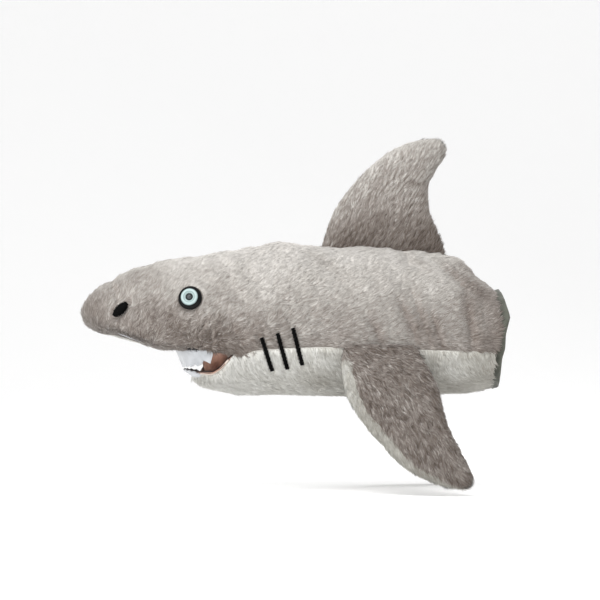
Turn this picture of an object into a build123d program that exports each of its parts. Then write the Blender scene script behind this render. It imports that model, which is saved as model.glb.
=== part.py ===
from build123d import *
import math
import os

# Plush shark hand puppet, in millimetres.
# The nose points along -X, the back is up (+Z) and the shark's left side faces -Y.
# The origin is the centre of the hand opening at the rear.

os.makedirs("parts", exist_ok=True)

# ---------------------------------------------------------------- driving dimensions
PLUSH = 4.0                # plush cloth with its pile, laid flat
LINING = 0.8               # smooth lining cloth
NOSE_X = -316.5            # blunt tip of the snout
CORNER_X = -203.0          # corners of the mouth, where the jaw folds
CORNER_Z = -14.0
HEM_X = -8.0               # rear edge of the plush
CUFF_R = 33.0              # inside of the lining at the hand opening
CUFF_X = (-16.0, 4.0)      # stretch of the lining that is a true cylinder

# Sections of the body: station, half width, top, widest line (the side seam), bottom.
SNOUT = [
    (NOSE_X, 5.0, 24.5, 19.0, 14.0),
    (-313.0, 10.5, 31.0, 17.0, 7.0),
    (-307.0, 16.0, 37.5, 12.0, 3.5),
    (-295.0, 23.0, 45.5, 6.0, -1.0),
    (-280.0, 29.0, 51.5, 0.0, -5.5),
    (-262.0, 34.0, 56.5, -5.0, -9.5),
    (-240.0, 39.0, 61.0, -9.0, -12.0),
    (CORNER_X, 44.0, 67.5, -10.5, -13.5),
]
TRUNK = [
    (CORNER_X, 44.0, 67.5, -10.5, -43.0),
    (-170.0, 47.0, 72.5, -10.0, -43.0),
    (-135.0, 48.0, 70.5, -9.0, -43.5),
    (-90.0, 46.0, 68.0, -8.5, -44.0),
    (-50.0, 42.5, 64.5, -8.5, -43.0),
    (-30.0, 40.5, 57.0, -8.5, -42.0),
    (-18.0, 40.3, 48.0, -9.0, -40.5),
    (HEM_X, 40.0, 42.0, -9.0, -39.0),
]
# Lower jaw: station, half width, lip line, bottom.
JAW = [
    (-241.0, 11.0, -28.0, -31.0),
    (-236.0, 20.0, -28.0, -34.0),
    (-226.0, 30.0, -28.0, -38.5),
    (-214.0, 37.0, -26.5, -41.5),
    (CORNER_X, 41.0, -20.0, -43.0),
]
THROAT_FRONT = 4.0         # degrees the jaw cloth stops short, ahead of the fold
THROAT_REAR = 33.0         # degrees the belly cloth stops short, behind the fold

EYE_AT = (-236.3, 29.8)    # along the head, and up
EYE_R = 9.0
EYE_TILT_UP = 20.0
EYE_TILT_FORWARD = 12.0
IRIS_R = 7.2
PUPIL_R = 3.2
SHANK_R = 2.2
# Half width of the head at the eyes, its widest line there, and the oval's height above it.
HEAD_HALF = 39.8
HEAD_SEAM_Z = -9.3
HEAD_REACH = 70.5

MOUTH_CLOTH = 1.0
PALATE_Z = -14.6           # underside of the mouth's upper cloth
FLOOR_Z = -26.9            # underside of its lower cloth at the front
FELT = 1.5                 # teeth felt
# Felt strips: front, half width, rear, sewn edge, points, count of points, uncut band.
UPPER_TEETH = (-246.8, 39.5, -218.0, PALATE_Z, -22.2, FELT, 17, 3.0)
LOWER_TEETH = (-240.5, 27.5, -226.0, -27.9, -23.0, FELT, 13, 1.4)

FIN_ROOT_Y = 52.5          # hinge line of each side fin, out from the middle
FIN_ROOT_Z = -9.0
FIN_SPLAY = 10.0           # degrees each side fin hangs out from straight down
FIN_THICK = 10.0
DORSAL_THICK = 14.0
FIN_SKIN = 2.2             # cloth of the fins, over their filling


# ---------------------------------------------------------------- section and loft helpers
def section_plane(x, z):
    """Plane across the body: its own x runs along +Y and its own y runs up."""
    return Plane(origin=(x, 0, z), x_dir=(0, 1, 0), z_dir=(1, 0, 0))


def half_oval(x, half_width, z_flat, reach, upper):
    """Half an ellipse with its flat side at z_flat."""
    start = 0 if upper else 180
    arc = Edge.make_ellipse(half_width, reach, section_plane(x, z_flat), start, start + 180)
    chord = Edge.make_line(arc @ 1, arc @ 0)
    return Face(Wire([arc, chord]))


def finer(rows):
    """The stations with one more between each pair, on a smooth curve through them."""
    result = [rows[0]]
    for k in range(len(rows) - 1):
        before = rows[max(k - 1, 0)]
        a, b = rows[k], rows[k + 1]
        after = rows[min(k + 2, len(rows) - 1)]
        step = b[0] - a[0]
        middle = []
        for va, vb, v0, v3 in zip(a, b, before, after):
            slope_a = (vb - v0) / (b[0] - before[0])
            slope_b = (v3 - va) / (after[0] - a[0])
            middle.append((va + vb) / 2 + step * (slope_a - slope_b) / 8)
        middle[0] = (a[0] + b[0]) / 2
        result.append(tuple(middle))
        result.append(b)
    return result


def upper_form(offset=0.0):
    """Everything above the side seam, nose to hem, grown by offset."""
    faces = []
    for x, half, top, seam, low in finer(SNOUT + TRUNK[1:]):
        faces.append(half_oval(x, half + offset, seam, top - seam + offset, True))
    return loft(faces, ruled=True)


def under_form(rows, offset=0.0):
    """The shape below the side seam along the given stations, grown by offset."""
    faces = []
    for x, half, top, seam, low in finer(rows):
        faces.append(half_oval(x, half + offset, seam, max(seam - low + offset, 0.6), False))
    return loft(faces, ruled=True)


def jaw_form(offset=0.0):
    """The lower jaw's bowl, flat at the lip, grown by offset."""
    faces = []
    for x, half, lip, low in finer(JAW):
        faces.append(half_oval(x, half + offset, lip, max(lip - low + offset, 1.2), False))
    return loft(faces, ruled=True)


def slab(x0, x1, y0, y1, z0, z1):
    """A plain box between two corners."""
    box = Box(x1 - x0, y1 - y0, z1 - z0)
    return Pos((x0 + x1) / 2, (y0 + y1) / 2, (z0 + z1) / 2) * box


def one(shape):
    """The largest solid of a result."""
    return max(shape.solids(), key=lambda s: s.volume)


def write(node, shape):
    """Write one sub-part."""
    solids = [s for s in shape.solids() if s.volume > 0.5]
    result = solids[0] if len(solids) == 1 else Compound(solids)
    result.label = node
    export_step(result, f"parts/{node}.step")
    box = result.bounding_box()
    print(node, len(solids), round(result.volume), result.is_valid, box.min, box.max)


def wedge(angle_from, angle_to):
    """Sector about the mouth-corner axis; angles from straight down, towards the tail."""
    far = 150.0
    points = [(0.0, 0.0)]
    for k in range(5):
        a = math.radians(angle_from + (angle_to - angle_from) * k / 4)
        points.append((far * math.sin(a), -far * math.cos(a)))
    outline = make_face(Polyline(*[(x, z) for x, z in points], close=True))
    solid = extrude(outline, amount=60, both=True)
    turned = Rotation(90, 0, 0) * solid
    return Pos(CORNER_X, 0, CORNER_Z) * turned


# ---------------------------------------------------------------- body skins
upper_outer = upper_form()
upper_inner = upper_form(-PLUSH)
# The inner form stops at the nose, so the snout keeps a closed tip.
upper_inner = upper_inner & slab(NOSE_X + PLUSH, 20, -80, 80, -60, 120)
upper_shell = upper_outer - upper_inner

eye_planes = {}
for side in (-1, 1):
    x, z = EYE_AT
    y = HEAD_HALF * math.sqrt(1 - ((z - HEAD_SEAM_Z) / HEAD_REACH) ** 2)
    out = Vector(
        -math.sin(math.radians(EYE_TILT_FORWARD)),
        side * math.cos(math.radians(EYE_TILT_FORWARD)) * math.cos(math.radians(EYE_TILT_UP)),
        math.sin(math.radians(EYE_TILT_UP)),
    )
    seat = Vector(x, side * y, z) + out * 0.9
    eye_planes[side] = Plane(origin=seat, z_dir=out)

back = {}
for side, name in ((-1, "left"), (1, "right")):
    half_space = slab(-330, 30, 0.0, 80, -60, 120) if side > 0 else slab(-330, 30, -80, 0.0, -60, 120)
    panel = upper_shell & half_space
    hole = eye_planes[side] * (Pos(0, 0, -10) * Cylinder(SHANK_R, 40))
    back[name] = one(panel - hole)
    write(f"back_{name}_panel", back[name])

write("snout_underside_panel", one(under_form(SNOUT)))

belly_outer = under_form(TRUNK)
belly_inner = under_form(TRUNK, -PLUSH)
belly_shell = belly_outer - belly_inner
belly = one(belly_shell - wedge(-90, THROAT_REAR))
write("belly_panel", belly)

# Loose throat cloth that bunches up when the jaw drops.
throat = one((belly_shell & wedge(-0.2, THROAT_REAR - 1.0)) & slab(-330, 0, -80, 80, -60, -17))
write("throat_fold", throat)

# ---------------------------------------------------------------- lower jaw
jaw_outer = jaw_form()
jaw_inner = jaw_form(-PLUSH + 1.0)
jaw_inner = Pos(0, 0, 0.01) * jaw_inner
jaw_rear = wedge(-THROAT_FRONT, 90)
jaw_skin = one((jaw_outer - jaw_inner) - jaw_rear)
write("jaw_skin", jaw_skin)

thumb_outer = jaw_form(-PLUSH + 1.0 - 0.3) & slab(-236, CORNER_X - 4, -22, 22, -60, -28.2)
thumb_inner = jaw_form(-PLUSH + 1.0 - 0.3 - LINING) & slab(-235.2, CORNER_X + 5, -21.2, 21.2, -60, -29.0)
write("thumb_lining", one(thumb_outer - thumb_inner - jaw_rear))


def mouth_outline(front_x, half_width, rear_x=CORNER_X - 1.0):
    """Half an ellipse in plan: wide at the mouth corners, rounded at the front."""
    depth = rear_x - front_x
    arc = Edge.make_ellipse(depth, half_width, Plane.XY, 90, 270)
    chord = Edge.make_line(arc @ 1, arc @ 0)
    return Pos(rear_x, 0, 0) * Face(Wire([arc, chord]))


def mouth_plate(front_x, half_width, z_low, z_high, rear_x=CORNER_X - 1.0):
    """A level plate of the mouth's plan shape."""
    return Pos(0, 0, z_low) * extrude(mouth_outline(front_x, half_width, rear_x), amount=z_high - z_low)


# Mouth cloth, upper and lower: the lower one slopes down from the corner fold.
palate = mouth_plate(-245.0, 38.0, PALATE_Z, PALATE_Z + MOUTH_CLOTH)
write("mouth_palate", one(palate))
floor_front = mouth_plate(-238.0, 25.0, FLOOR_Z, FLOOR_Z + MOUTH_CLOTH, rear_x=-216.0)
slope_line = [
    (-216.2, FLOOR_Z + MOUTH_CLOTH),
    (-216.2, FLOOR_Z),
    (-204.8, -17.4),
    (-204.8, -17.4 + MOUTH_CLOTH),
]
slope = make_face(Polyline(*slope_line, close=True))
floor_slope = Rotation(90, 0, 0) * extrude(slope, amount=25.0, both=True)
write("mouth_floor", one(floor_front + floor_slope))


# ---------------------------------------------------------------- felt teeth
def tooth_row(front_x, half_width, rear_x, z_root, z_tip, thick, count, root_band):
    """A curved felt band with a zigzag edge; z_tip may be above or below z_root."""
    z_low = min(z_root, z_tip)
    height = abs(z_tip - z_root)
    outer = mouth_plate(front_x, half_width, z_low, z_low + height, rear_x)
    inner = mouth_plate(front_x + thick, half_width - thick, z_low - 1, z_low + height + 1, rear_x + 5)
    band = outer - inner
    down = z_tip < z_root
    depth = rear_x - front_x
    cutters = []
    for k in range(1, count):
        t = math.radians(90 + 180 * k / count)
        at = Vector(rear_x + depth * math.cos(t), half_width * math.sin(t), 0)
        turn = math.degrees(math.atan2(math.sin(t) / half_width, math.cos(t) / depth))
        half_gap = 0.40 * math.pi * math.sqrt((depth ** 2 + half_width ** 2) / 2) / count
        z_edge = z_tip - 0.5 if down else z_tip + 0.5
        z_notch = z_root - root_band if down else z_root + root_band
        tri = make_face(Polyline((-half_gap, z_edge), (half_gap, z_edge), (0, z_notch), close=True))
        prism = Rotation(90, 0, 0) * extrude(tri, amount=5, both=True)
        cutters.append(Pos(at.X, at.Y, 0) * (Rotation(0, 0, turn + 90) * prism))
    for cutter in cutters:
        band = band - cutter
    return band


write("upper_teeth", one(tooth_row(*UPPER_TEETH)))
write("lower_teeth", one(tooth_row(*LOWER_TEETH)))

# ---------------------------------------------------------------- lining and stuffing
# The hand sleeve: a cylinder at the opening, then a tapering glove up into the head.
GLOVE = [
    (CUFF_X[0], CUFF_R, CUFF_R, 0.0),
    (-60.0, 34.0, 33.0, 2.0),
    (-120.0, 36.0, 33.0, 8.0),
    (-180.0, 35.0, 28.0, 13.0),
    (-225.0, 25.0, 18.0, 15.0),
    (-262.0, 19.0, 14.0, 18.0),
    (-278.0, 10.0, 8.0, 18.0),
]


def glove(extra):
    """The hand-shaped sleeve as a solid, grown by extra."""
    faces = []
    for x, half, reach, mid in GLOVE:
        ring = Edge.make_ellipse(half + extra, reach + extra, section_plane(x, mid), 0, 360)
        faces.append(Face(Wire([ring])))
    return loft(faces, ruled=True)


def cuff(extra, x0, x1):
    """The true cylinder of the sleeve at the opening."""
    disc = section_plane(x0, 0) * Circle(CUFF_R + extra)
    return extrude(disc, amount=x1 - x0, dir=(1, 0, 0))


sleeve_inner = glove(0.0) & slab(-277.0, 10, -80, 80, -80, 80)
sleeve = glove(LINING) + cuff(LINING, *CUFF_X)
sleeve = sleeve - sleeve_inner - cuff(0.0, CUFF_X[0] - 0.01, CUFF_X[1] + 1)
write("hand_lining", one(sleeve))

# Wadding that keeps the snout firm, ahead of the fingertips.
snout_fill = upper_form(-PLUSH - 0.2) & slab(NOSE_X + PLUSH + 0.3, -262, -80, 80, -4.5, 120)
snout_fill = snout_fill - glove(LINING + 0.3)
write("snout_stuffing", one(snout_fill))

# ---------------------------------------------------------------- embroidery
EMBROIDERY = 1.0
raised = upper_form(EMBROIDERY) - upper_outer
raised_belly = under_form(TRUNK, EMBROIDERY) - belly_outer

# Gill lines: top and bottom ends of each, along the body and up.
GILLS = [
    ((-182.8, 0.3), (-174.9, -25.0)),
    ((-170.9, 3.6), (-163.4, -23.5)),
    ((-159.3, 7.5), (-152.2, -20.5)),
]
GILL_WIDTH = 2.8
# Nostril ends, along the snout and up.
NOSTRIL = ((-283.5, 26.4), (-293.8, 16.6))
NOSTRIL_WIDTH = 6.6


def bar_cutter(top, bottom, width, side):
    """A rounded bar seen from the side, run through one flank."""
    length = math.dist(top, bottom)
    lean = math.degrees(math.atan2(top[0] - bottom[0], top[1] - bottom[1]))
    shape = SlotOverall(length, width)
    solid = extrude(shape, amount=70)
    turned = Rotation(90, 0, 0) * (Rotation(0, 0, 90 - lean) * solid)
    if side > 0:
        turned = Pos(0, 70, 0) * turned
    return Pos((top[0] + bottom[0]) / 2, 0, (top[1] + bottom[1]) / 2) * turned


for side, name in ((-1, "left"), (1, "right")):
    lines = []
    for top, bottom in GILLS:
        cutter = bar_cutter(top, bottom, GILL_WIDTH, side)
        piece = (raised & cutter) + (raised_belly & cutter)
        lines.append(one(piece))
    write(f"gill_stitches_{name}", Compound(lines))
    spot = bar_cutter(NOSTRIL[0], NOSTRIL[1], NOSTRIL_WIDTH, side)
    write(f"nostril_{name}", one(raised & spot))

# ---------------------------------------------------------------- eyes
for side, name in ((-1, "left"), (1, "right")):
    seat = eye_planes[side]
    ball_r = (EYE_R ** 2 + 4.6 ** 2) / (2 * 4.6)
    dome = (Pos(0, 0, 1.4 + 4.6 - ball_r) * Sphere(ball_r)) & (Pos(0, 0, 6.4) * Box(40, 40, 10))
    rim = Pos(0, 0, 0.7) * Cylinder(EYE_R, 1.4)
    shank = Pos(0, 0, -4.2) * Cylinder(SHANK_R, 8.4)
    shell = dome + rim + shank
    iris_zone = Pos(0, 0, 5) * (Cylinder(IRIS_R, 8) - Cylinder(PUPIL_R, 8))
    pupil_zone = Pos(0, 0, 5) * Cylinder(PUPIL_R, 8)
    core = Pos(0, 0, 1.4 + 4.6 - ball_r - 0.5) * Sphere(ball_r)
    write(f"eye_shell_{name}", seat * one(shell - ((iris_zone + pupil_zone) - core)))
    skin = dome - core
    write(f"iris_{name}", seat * one(skin & iris_zone))
    write(f"pupil_{name}", seat * one(skin & pupil_zone))
    washer = Pos(0, 0, -7.4) * (Cylinder(6.5, 1.4) - Cylinder(SHANK_R, 4))
    write(f"eye_washer_{name}", seat * washer)

# ---------------------------------------------------------------- fins
# Side fin outline: along the body, and down the fin from its root.
FIN_FRONT = [
    (-120.5, 0.0),
    (-118.5, 26.0),
    (-107.0, 52.0),
    (-90.0, 73.0),
    (-73.0, 91.0),
    (-54.0, 100.5),
    (-34.0, 103.0),
]
FIN_REAR = [(-26.0, 96.0), (-34.0, 76.0), (-44.0, 54.0), (-54.0, 26.0), (-67.5, 0.0)]
# Dorsal fin outline: along the body, and up.
DORSAL_FRONT = [
    (-137.0, 71.6),
    (-127.0, 95.0),
    (-104.0, 125.0),
    (-80.0, 143.0),
    (-60.0, 149.0),
    (-51.0, 147.0),
]
DORSAL_REAR = [
    (-45.5, 140.0),
    (-53.0, 125.0),
    (-58.5, 108.0),
    (-57.0, 92.0),
    (-51.0, 78.0),
    (-45.0, 65.6),
]
DORSAL_BASE = (-90.0, 69.4)


def smooth(points, steps=3):
    """Points along a smooth curve through the given ones, a few for each stretch."""
    result = [points[0]]
    for k in range(len(points) - 1):
        before = points[max(k - 1, 0)]
        a, b = points[k], points[k + 1]
        after = points[min(k + 2, len(points) - 1)]
        for j in range(1, steps + 1):
            t = j / steps
            spot = []
            for va, vb, v0, v3 in zip(a, b, before, after):
                bend = (vb - v0) * (t - 2 * t ** 2 + t ** 3) - (v3 - va) * (t ** 2 - t ** 3)
                spot.append(va + (vb - va) * (3 * t ** 2 - 2 * t ** 3) + bend / 2)
            result.append(tuple(spot))
    return result


def layer(outline, scale, height):
    """The outline shrunk about its middle, at a height."""
    mx = sum(p[0] for p in outline) / len(outline)
    my = sum(p[1] for p in outline) / len(outline)
    points = [(mx + (x - mx) * scale, my + (y - my) * scale) for x, y in outline]
    return Pos(0, 0, height) * make_face(Polyline(*points, close=True))


def fin_layers(outline, thick):
    """Two domed skins with a pocket each, and the filling between them."""
    half = thick / 2
    skins = []
    for way in (1, -1):
        dome = loft([
            layer(outline, 1.0, 0.0),
            layer(outline, 0.975, way * half * 0.6),
            layer(outline, 0.88, way * half),
        ], ruled=True)
        hollow = loft([
            layer(outline, 0.92, 0.0),
            layer(outline, 0.92, way * half * 0.3),
            layer(outline, 0.84, way * (half - FIN_SKIN)),
        ], ruled=True)
        skins.append(dome - hollow)
    core = loft([
        layer(outline, 0.84, FIN_SKIN - half),
        layer(outline, 0.92, -half * 0.3),
        layer(outline, 0.92, half * 0.3),
        layer(outline, 0.84, half - FIN_SKIN),
    ], ruled=True)
    return skins[0], skins[1], core


fin_outline = smooth(FIN_FRONT) + smooth(FIN_REAR)
outer_skin, inner_skin, fin_core = fin_layers(fin_outline, FIN_THICK)
for side, name in ((-1, "left"), (1, "right")):
    # The outline's second coordinate runs down and outward from the root.
    lean = math.radians(FIN_SPLAY)
    down = Vector(0, side * math.sin(lean), -math.cos(lean))
    place = Plane(
        origin=(0, side * FIN_ROOT_Y, FIN_ROOT_Z),
        x_dir=(1, 0, 0),
        z_dir=Vector(1, 0, 0).cross(down),
    )
    # The plane faces +Y on both sides, so the outward layer changes with the side.
    away = inner_skin if side < 0 else outer_skin
    near = outer_skin if side < 0 else inner_skin
    write(f"fin_top_{name}", place * one(away))
    write(f"fin_underside_{name}", place * one(near))
    write(f"fin_stuffing_{name}", place * one(fin_core))

dorsal_outline = smooth(DORSAL_FRONT) + smooth(DORSAL_REAR) + [DORSAL_BASE]
first_skin, second_skin, dorsal_core = fin_layers(dorsal_outline, DORSAL_THICK)
upright = Plane(origin=(0, 0, 0), x_dir=(1, 0, 0), z_dir=(0, -1, 0))
write("dorsal_left_skin", upright * one(first_skin))
write("dorsal_right_skin", upright * one(second_skin))
write("dorsal_stuffing", upright * one(dorsal_core))
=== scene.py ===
import math

import bmesh
import bpy
import numpy as np
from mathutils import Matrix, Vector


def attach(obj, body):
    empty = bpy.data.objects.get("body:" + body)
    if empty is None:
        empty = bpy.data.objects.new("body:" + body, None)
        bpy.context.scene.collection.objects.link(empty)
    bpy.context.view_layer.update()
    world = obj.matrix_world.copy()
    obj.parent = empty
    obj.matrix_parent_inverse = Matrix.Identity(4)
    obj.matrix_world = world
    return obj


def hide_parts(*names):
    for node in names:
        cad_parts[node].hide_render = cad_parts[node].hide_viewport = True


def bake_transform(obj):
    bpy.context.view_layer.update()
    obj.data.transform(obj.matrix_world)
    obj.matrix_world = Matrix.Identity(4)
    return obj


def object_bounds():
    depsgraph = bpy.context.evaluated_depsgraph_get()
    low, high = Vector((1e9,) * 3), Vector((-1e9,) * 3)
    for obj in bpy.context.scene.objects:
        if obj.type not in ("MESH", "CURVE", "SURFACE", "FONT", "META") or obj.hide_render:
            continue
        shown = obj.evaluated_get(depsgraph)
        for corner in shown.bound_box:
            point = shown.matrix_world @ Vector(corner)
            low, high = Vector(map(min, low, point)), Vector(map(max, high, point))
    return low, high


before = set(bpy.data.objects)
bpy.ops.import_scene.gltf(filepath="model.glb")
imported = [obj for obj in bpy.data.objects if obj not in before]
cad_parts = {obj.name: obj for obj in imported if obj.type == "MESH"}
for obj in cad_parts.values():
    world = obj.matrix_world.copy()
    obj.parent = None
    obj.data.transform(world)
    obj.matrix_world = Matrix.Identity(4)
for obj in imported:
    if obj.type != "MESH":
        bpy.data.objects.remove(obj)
cad_low, cad_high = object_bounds()

# ---------------------------------------------------------------------------
# Grey plush back. Two mirrored panels of short-pile grey plush cover the back and
# flanks, from the nose to the hem; they meet along the spine and are sewn to the
# white cloth along the side seam. Each is a curved sheet with its own thickness.
# ---------------------------------------------------------------------------
NOSE_TIP = -0.3172
HEM = -0.0085
HEM_REACH = 0.030
PILE_DEPTH = 0.0017
PLUSH_THICK = 0.0022
CORNER_OF_MOUTH = -0.190

# Along the body: station, half width, back line, widest line, underside line.
BACK_FORM = np.array([
    (-0.3172, 0.0000, 0.0190, 0.0190, 0.0190),
    (-0.3130, 0.0105, 0.0310, 0.0175, 0.0070),
    (-0.3070, 0.0160, 0.0375, 0.0130, 0.0035),
    (-0.2950, 0.0230, 0.0455, 0.0080, -0.0010),
    (-0.2800, 0.0290, 0.0515, 0.0030, -0.0055),
    (-0.2620, 0.0345, 0.0565, -0.0020, -0.0095),
    (-0.2400, 0.0395, 0.0607, -0.0060, -0.0120),
    (-0.2180, 0.0428, 0.0645, -0.0085, -0.0125),
    (-0.2030, 0.0440, 0.0672, -0.0110, -0.0135),
    (-0.1960, 0.0445, 0.0683, -0.0118, -0.0430),
    (-0.1870, 0.0455, 0.0695, -0.0088, -0.0430),
    (-0.1700, 0.0470, 0.0722, -0.0072, -0.0430),
    (-0.1350, 0.0480, 0.0704, -0.0060, -0.0435),
    (-0.0900, 0.0460, 0.0680, -0.0072, -0.0440),
    (-0.0500, 0.0425, 0.0645, -0.0085, -0.0430),
    (-0.0300, 0.0408, 0.0565, -0.0090, -0.0420),
    (-0.0180, 0.0403, 0.0475, -0.0093, -0.0405),
    (-0.0085, 0.0400, 0.0400, -0.0095, -0.0390),
])


def smooth_between(x, xs, ys):
    """Value at x on a smooth curve through (xs, ys): cubic pieces whose slope at each
    point is the one between its neighbours."""
    slope = np.gradient(ys, xs)
    k = np.clip(np.searchsorted(xs, x, side="right") - 1, 0, len(xs) - 2)
    step = xs[k + 1] - xs[k]
    t = np.clip((x - xs[k]) / step, 0.0, 1.0)
    return (
        ys[k] * (2 * t**3 - 3 * t**2 + 1)
        + ys[k + 1] * (3 * t**2 - 2 * t**3)
        + step * (slope[k] * (t**3 - 2 * t**2 + t) + slope[k + 1] * (t**3 - t**2))
    )


def waves(points, size, seed, count=28):
    """Smooth random field about 0 with lumps of the given size: the mean of many
    cosines in random directions."""
    rng = np.random.default_rng(seed)
    way = rng.normal(size=(count, 3))
    way /= np.linalg.norm(way, axis=1)[:, None]
    pace = rng.uniform(0.6, 1.5, count) * 2 * np.pi / size
    phase = rng.uniform(0, 2 * np.pi, count)
    total = np.zeros(len(points))
    for d, p, f in zip(way, pace, phase):
        total += np.cos(points @ d * p + f)
    return total / math.sqrt(count / 2)


def crease(x, z, ends, width):
    """1 on the straight line between two points seen from the side, falling to 0
    about one width away, and fading towards the ends."""
    (x0, z0), (x1, z1) = ends
    dx, dz = x1 - x0, z1 - z0
    t = np.clip(((x - x0) * dx + (z - z0) * dz) / (dx * dx + dz * dz), 0, 1)
    gap = np.hypot(x - x0 - t * dx, z - z0 - t * dz)
    return np.exp(-((gap / width) ** 2)) * (0.35 + 0.65 * np.sin(np.pi * np.clip(t, 0.02, 0.98)))


# Folds seen on each flank: the line's two ends, its width and its depth.
FOLDS = (
    (((-0.154, 0.066), (-0.124, 0.047)), 0.0060, 0.0022),
    (((-0.083, 0.030), (-0.066, -0.006)), 0.0050, 0.0036),
    (((-0.072, 0.034), (-0.058, -0.008)), 0.0040, 0.0028),
    (((-0.060, 0.022), (-0.049, -0.010)), 0.0036, 0.0026),
    (((-0.034, 0.034), (-0.026, -0.008)), 0.0050, 0.0036),
    (((-0.060, 0.062), (-0.020, 0.030)), 0.0055, 0.0028),
    (((-0.045, 0.058), (-0.014, 0.044)), 0.0050, 0.0022),
    (((-0.104, 0.016), (-0.092, -0.008)), 0.0045, 0.0022),
    (((-0.082, 0.064), (-0.058, 0.050)), 0.0050, 0.0020),
    (((-0.2960, 0.0440), (-0.2905, 0.0270)), 0.0034, 0.0013),
)
# Sharp pleats in the upper lip, where the corner of the mouth pulls the plush in.
PLEAT_DEPTH = 0.0014
PLEAT_WIDTH = 0.0014
PLEATS = (
    ((-0.2232, 0.0135), (-0.2297, 0.0027)),
    ((-0.2297, 0.0027), (-0.2293, -0.0020)),
    ((-0.2293, -0.0020), (-0.2240, -0.0074)),
    ((-0.2146, 0.0110), (-0.2199, 0.0056)),
    ((-0.2199, 0.0056), (-0.2200, -0.0060)),
)


def grid_normals(points, flip=False):
    """Unit normal at each point of a grid of points, from the cross product of the
    two directions along the grid."""
    along = np.gradient(points, axis=0)
    across = np.gradient(points, axis=1)
    normal = np.cross(along, across)
    size = np.linalg.norm(normal, axis=2, keepdims=True)
    normal = normal / np.maximum(size, 1e-12)
    return -normal if flip else normal


def form_at(x, form):
    """Measures of a form at station x: each column on a smooth curve against the
    square root of the way walked to the hem, which spreads out the blunt front end."""
    front = form[0, 0]
    along = np.sqrt(np.clip((x - front) / (HEM - front), 0, 1))
    marks = np.sqrt((form[:, 0] - front) / (HEM - front))
    return [smooth_between(along, marks, column) for column in form[:, 1:].T]


def drawn_in(size, pull):
    """A size less the pull, which fades out where the size is under 4 mm."""
    return np.maximum(size - pull * np.minimum(1, size / 0.004), 0.0)


def oval_share(turn):
    """Share of the half width at a turn: a cosine, a little fuller than an ellipse."""
    return np.abs(np.cos(turn)) ** 0.92 * np.sign(np.cos(turn))


def body_point(x, turn, pull=0.0):
    """Point of the body's outline: at station x, an oval section with separate
    heights above and below its widest line; turn is 0 at the widest line, 90
    degrees at the spine, and pull shrinks the section inwards."""
    half, top, wide, low = form_at(x, BACK_FORM)
    rise = drawn_in(np.where(np.sin(turn) >= 0, top - wide, wide - low), pull)
    across = drawn_in(half, pull) * oval_share(turn)
    return np.stack([x + np.zeros_like(turn), across, wide + rise * np.sin(turn)], axis=-1)


def rough_folds(points, normals, seed):
    """Grid of points pushed in along its folds, with the slight unevenness of soft
    stuffing: two sizes of smooth random lumps."""
    x, z = points[..., 0], points[..., 2]
    depth = np.zeros(x.shape)
    for ends, width, amount in FOLDS:
        depth += amount * crease(x, z, ends, width)
    for ends in PLEATS:
        depth += PLEAT_DEPTH * crease(x, z, ends, PLEAT_WIDTH)
    flat = points.reshape(-1, 3)
    lumps = 0.0007 * waves(flat, 0.050, seed) + 0.0003 * waves(flat, 0.018, seed + 1)
    lumps = lumps.reshape(x.shape) * np.clip((x - NOSE_TIP) / 0.02, 0, 1)
    return points + normals * (lumps - depth)[..., None]


def grid_faces(rows, columns, flip=False):
    """Four-cornered faces of a grid whose points are numbered row by row."""
    a = (np.arange(rows - 1)[:, None] * columns + np.arange(columns - 1)[None, :]).ravel()
    faces = np.stack([a, a + columns, a + columns + 1, a + 1], axis=1)
    return (faces[:, ::-1] if flip else faces).tolist()


def placed(name, data):
    """Object for a mesh, a lamp or a camera."""
    obj = bpy.data.objects.new(name, data)
    bpy.context.scene.collection.objects.link(obj)
    return obj


def new_mesh(name, points, faces, weld=1e-5, turn_out=False):
    """Object with the given points and faces, shaded smooth. Points closer than weld
    are merged, and turn_out turns the faces of a closed shape outwards."""
    mesh = bpy.data.meshes.new(name)
    mesh.from_pydata(points.reshape(-1, 3).tolist(), [], faces)
    bm = bmesh.new()
    bm.from_mesh(mesh)
    if weld:
        bmesh.ops.remove_doubles(bm, verts=bm.verts, dist=weld)
        bmesh.ops.dissolve_degenerate(bm, dist=1e-6, edges=bm.edges)
    if turn_out:
        bmesh.ops.recalc_face_normals(bm, faces=bm.faces)
    bm.to_mesh(mesh)
    bm.free()
    mesh.polygons.foreach_set("use_smooth", [True] * len(mesh.polygons))
    mesh.update()
    return placed(name, mesh)


def hem_bulge(points, turn, angles, shifts):
    """The hem does not stand square: near it, points slide along the body by an
    amount given for angles round the section, in degrees and millimetres."""
    near = np.clip((points[..., 0] - HEM + HEM_REACH) / HEM_REACH, 0, 1) ** 1.5
    shifted = points.copy()
    shifted[..., 0] += near * np.interp(np.degrees(turn), angles, shifts) / 1000
    return shifted


def face_away(obj, height):
    """Turn every face of a sheet outwards from the line y = 0, z = height."""
    mesh = obj.data
    count = len(mesh.polygons)
    normal, middle = np.zeros(count * 3), np.zeros(count * 3)
    mesh.polygons.foreach_get("normal", normal)
    mesh.polygons.foreach_get("center", middle)
    middle = middle.reshape(-1, 3) - np.array([0.0, 0.0, height])
    if (normal.reshape(-1, 3)[:, 1:] * middle[:, 1:]).sum() < 0:
        mesh.flip_normals()


def cloth_wall(obj, thick):
    """Give a sheet its thickness, on the inside."""
    wall = obj.modifiers.new("wall", "SOLIDIFY")
    wall.thickness = thick
    wall.offset = -1.0
    wall.use_even_offset = False
    return wall


def group_ends(group, takes, gives):
    """Name a node group's sockets and return its two end nodes."""
    for label, kind in takes.items():
        group.interface.new_socket(label, in_out="INPUT", socket_type=kind)
    for label, kind in gives.items():
        group.interface.new_socket(label, in_out="OUTPUT", socket_type=kind)
    return group.nodes.new("NodeGroupInput"), group.nodes.new("NodeGroupOutput")


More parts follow.
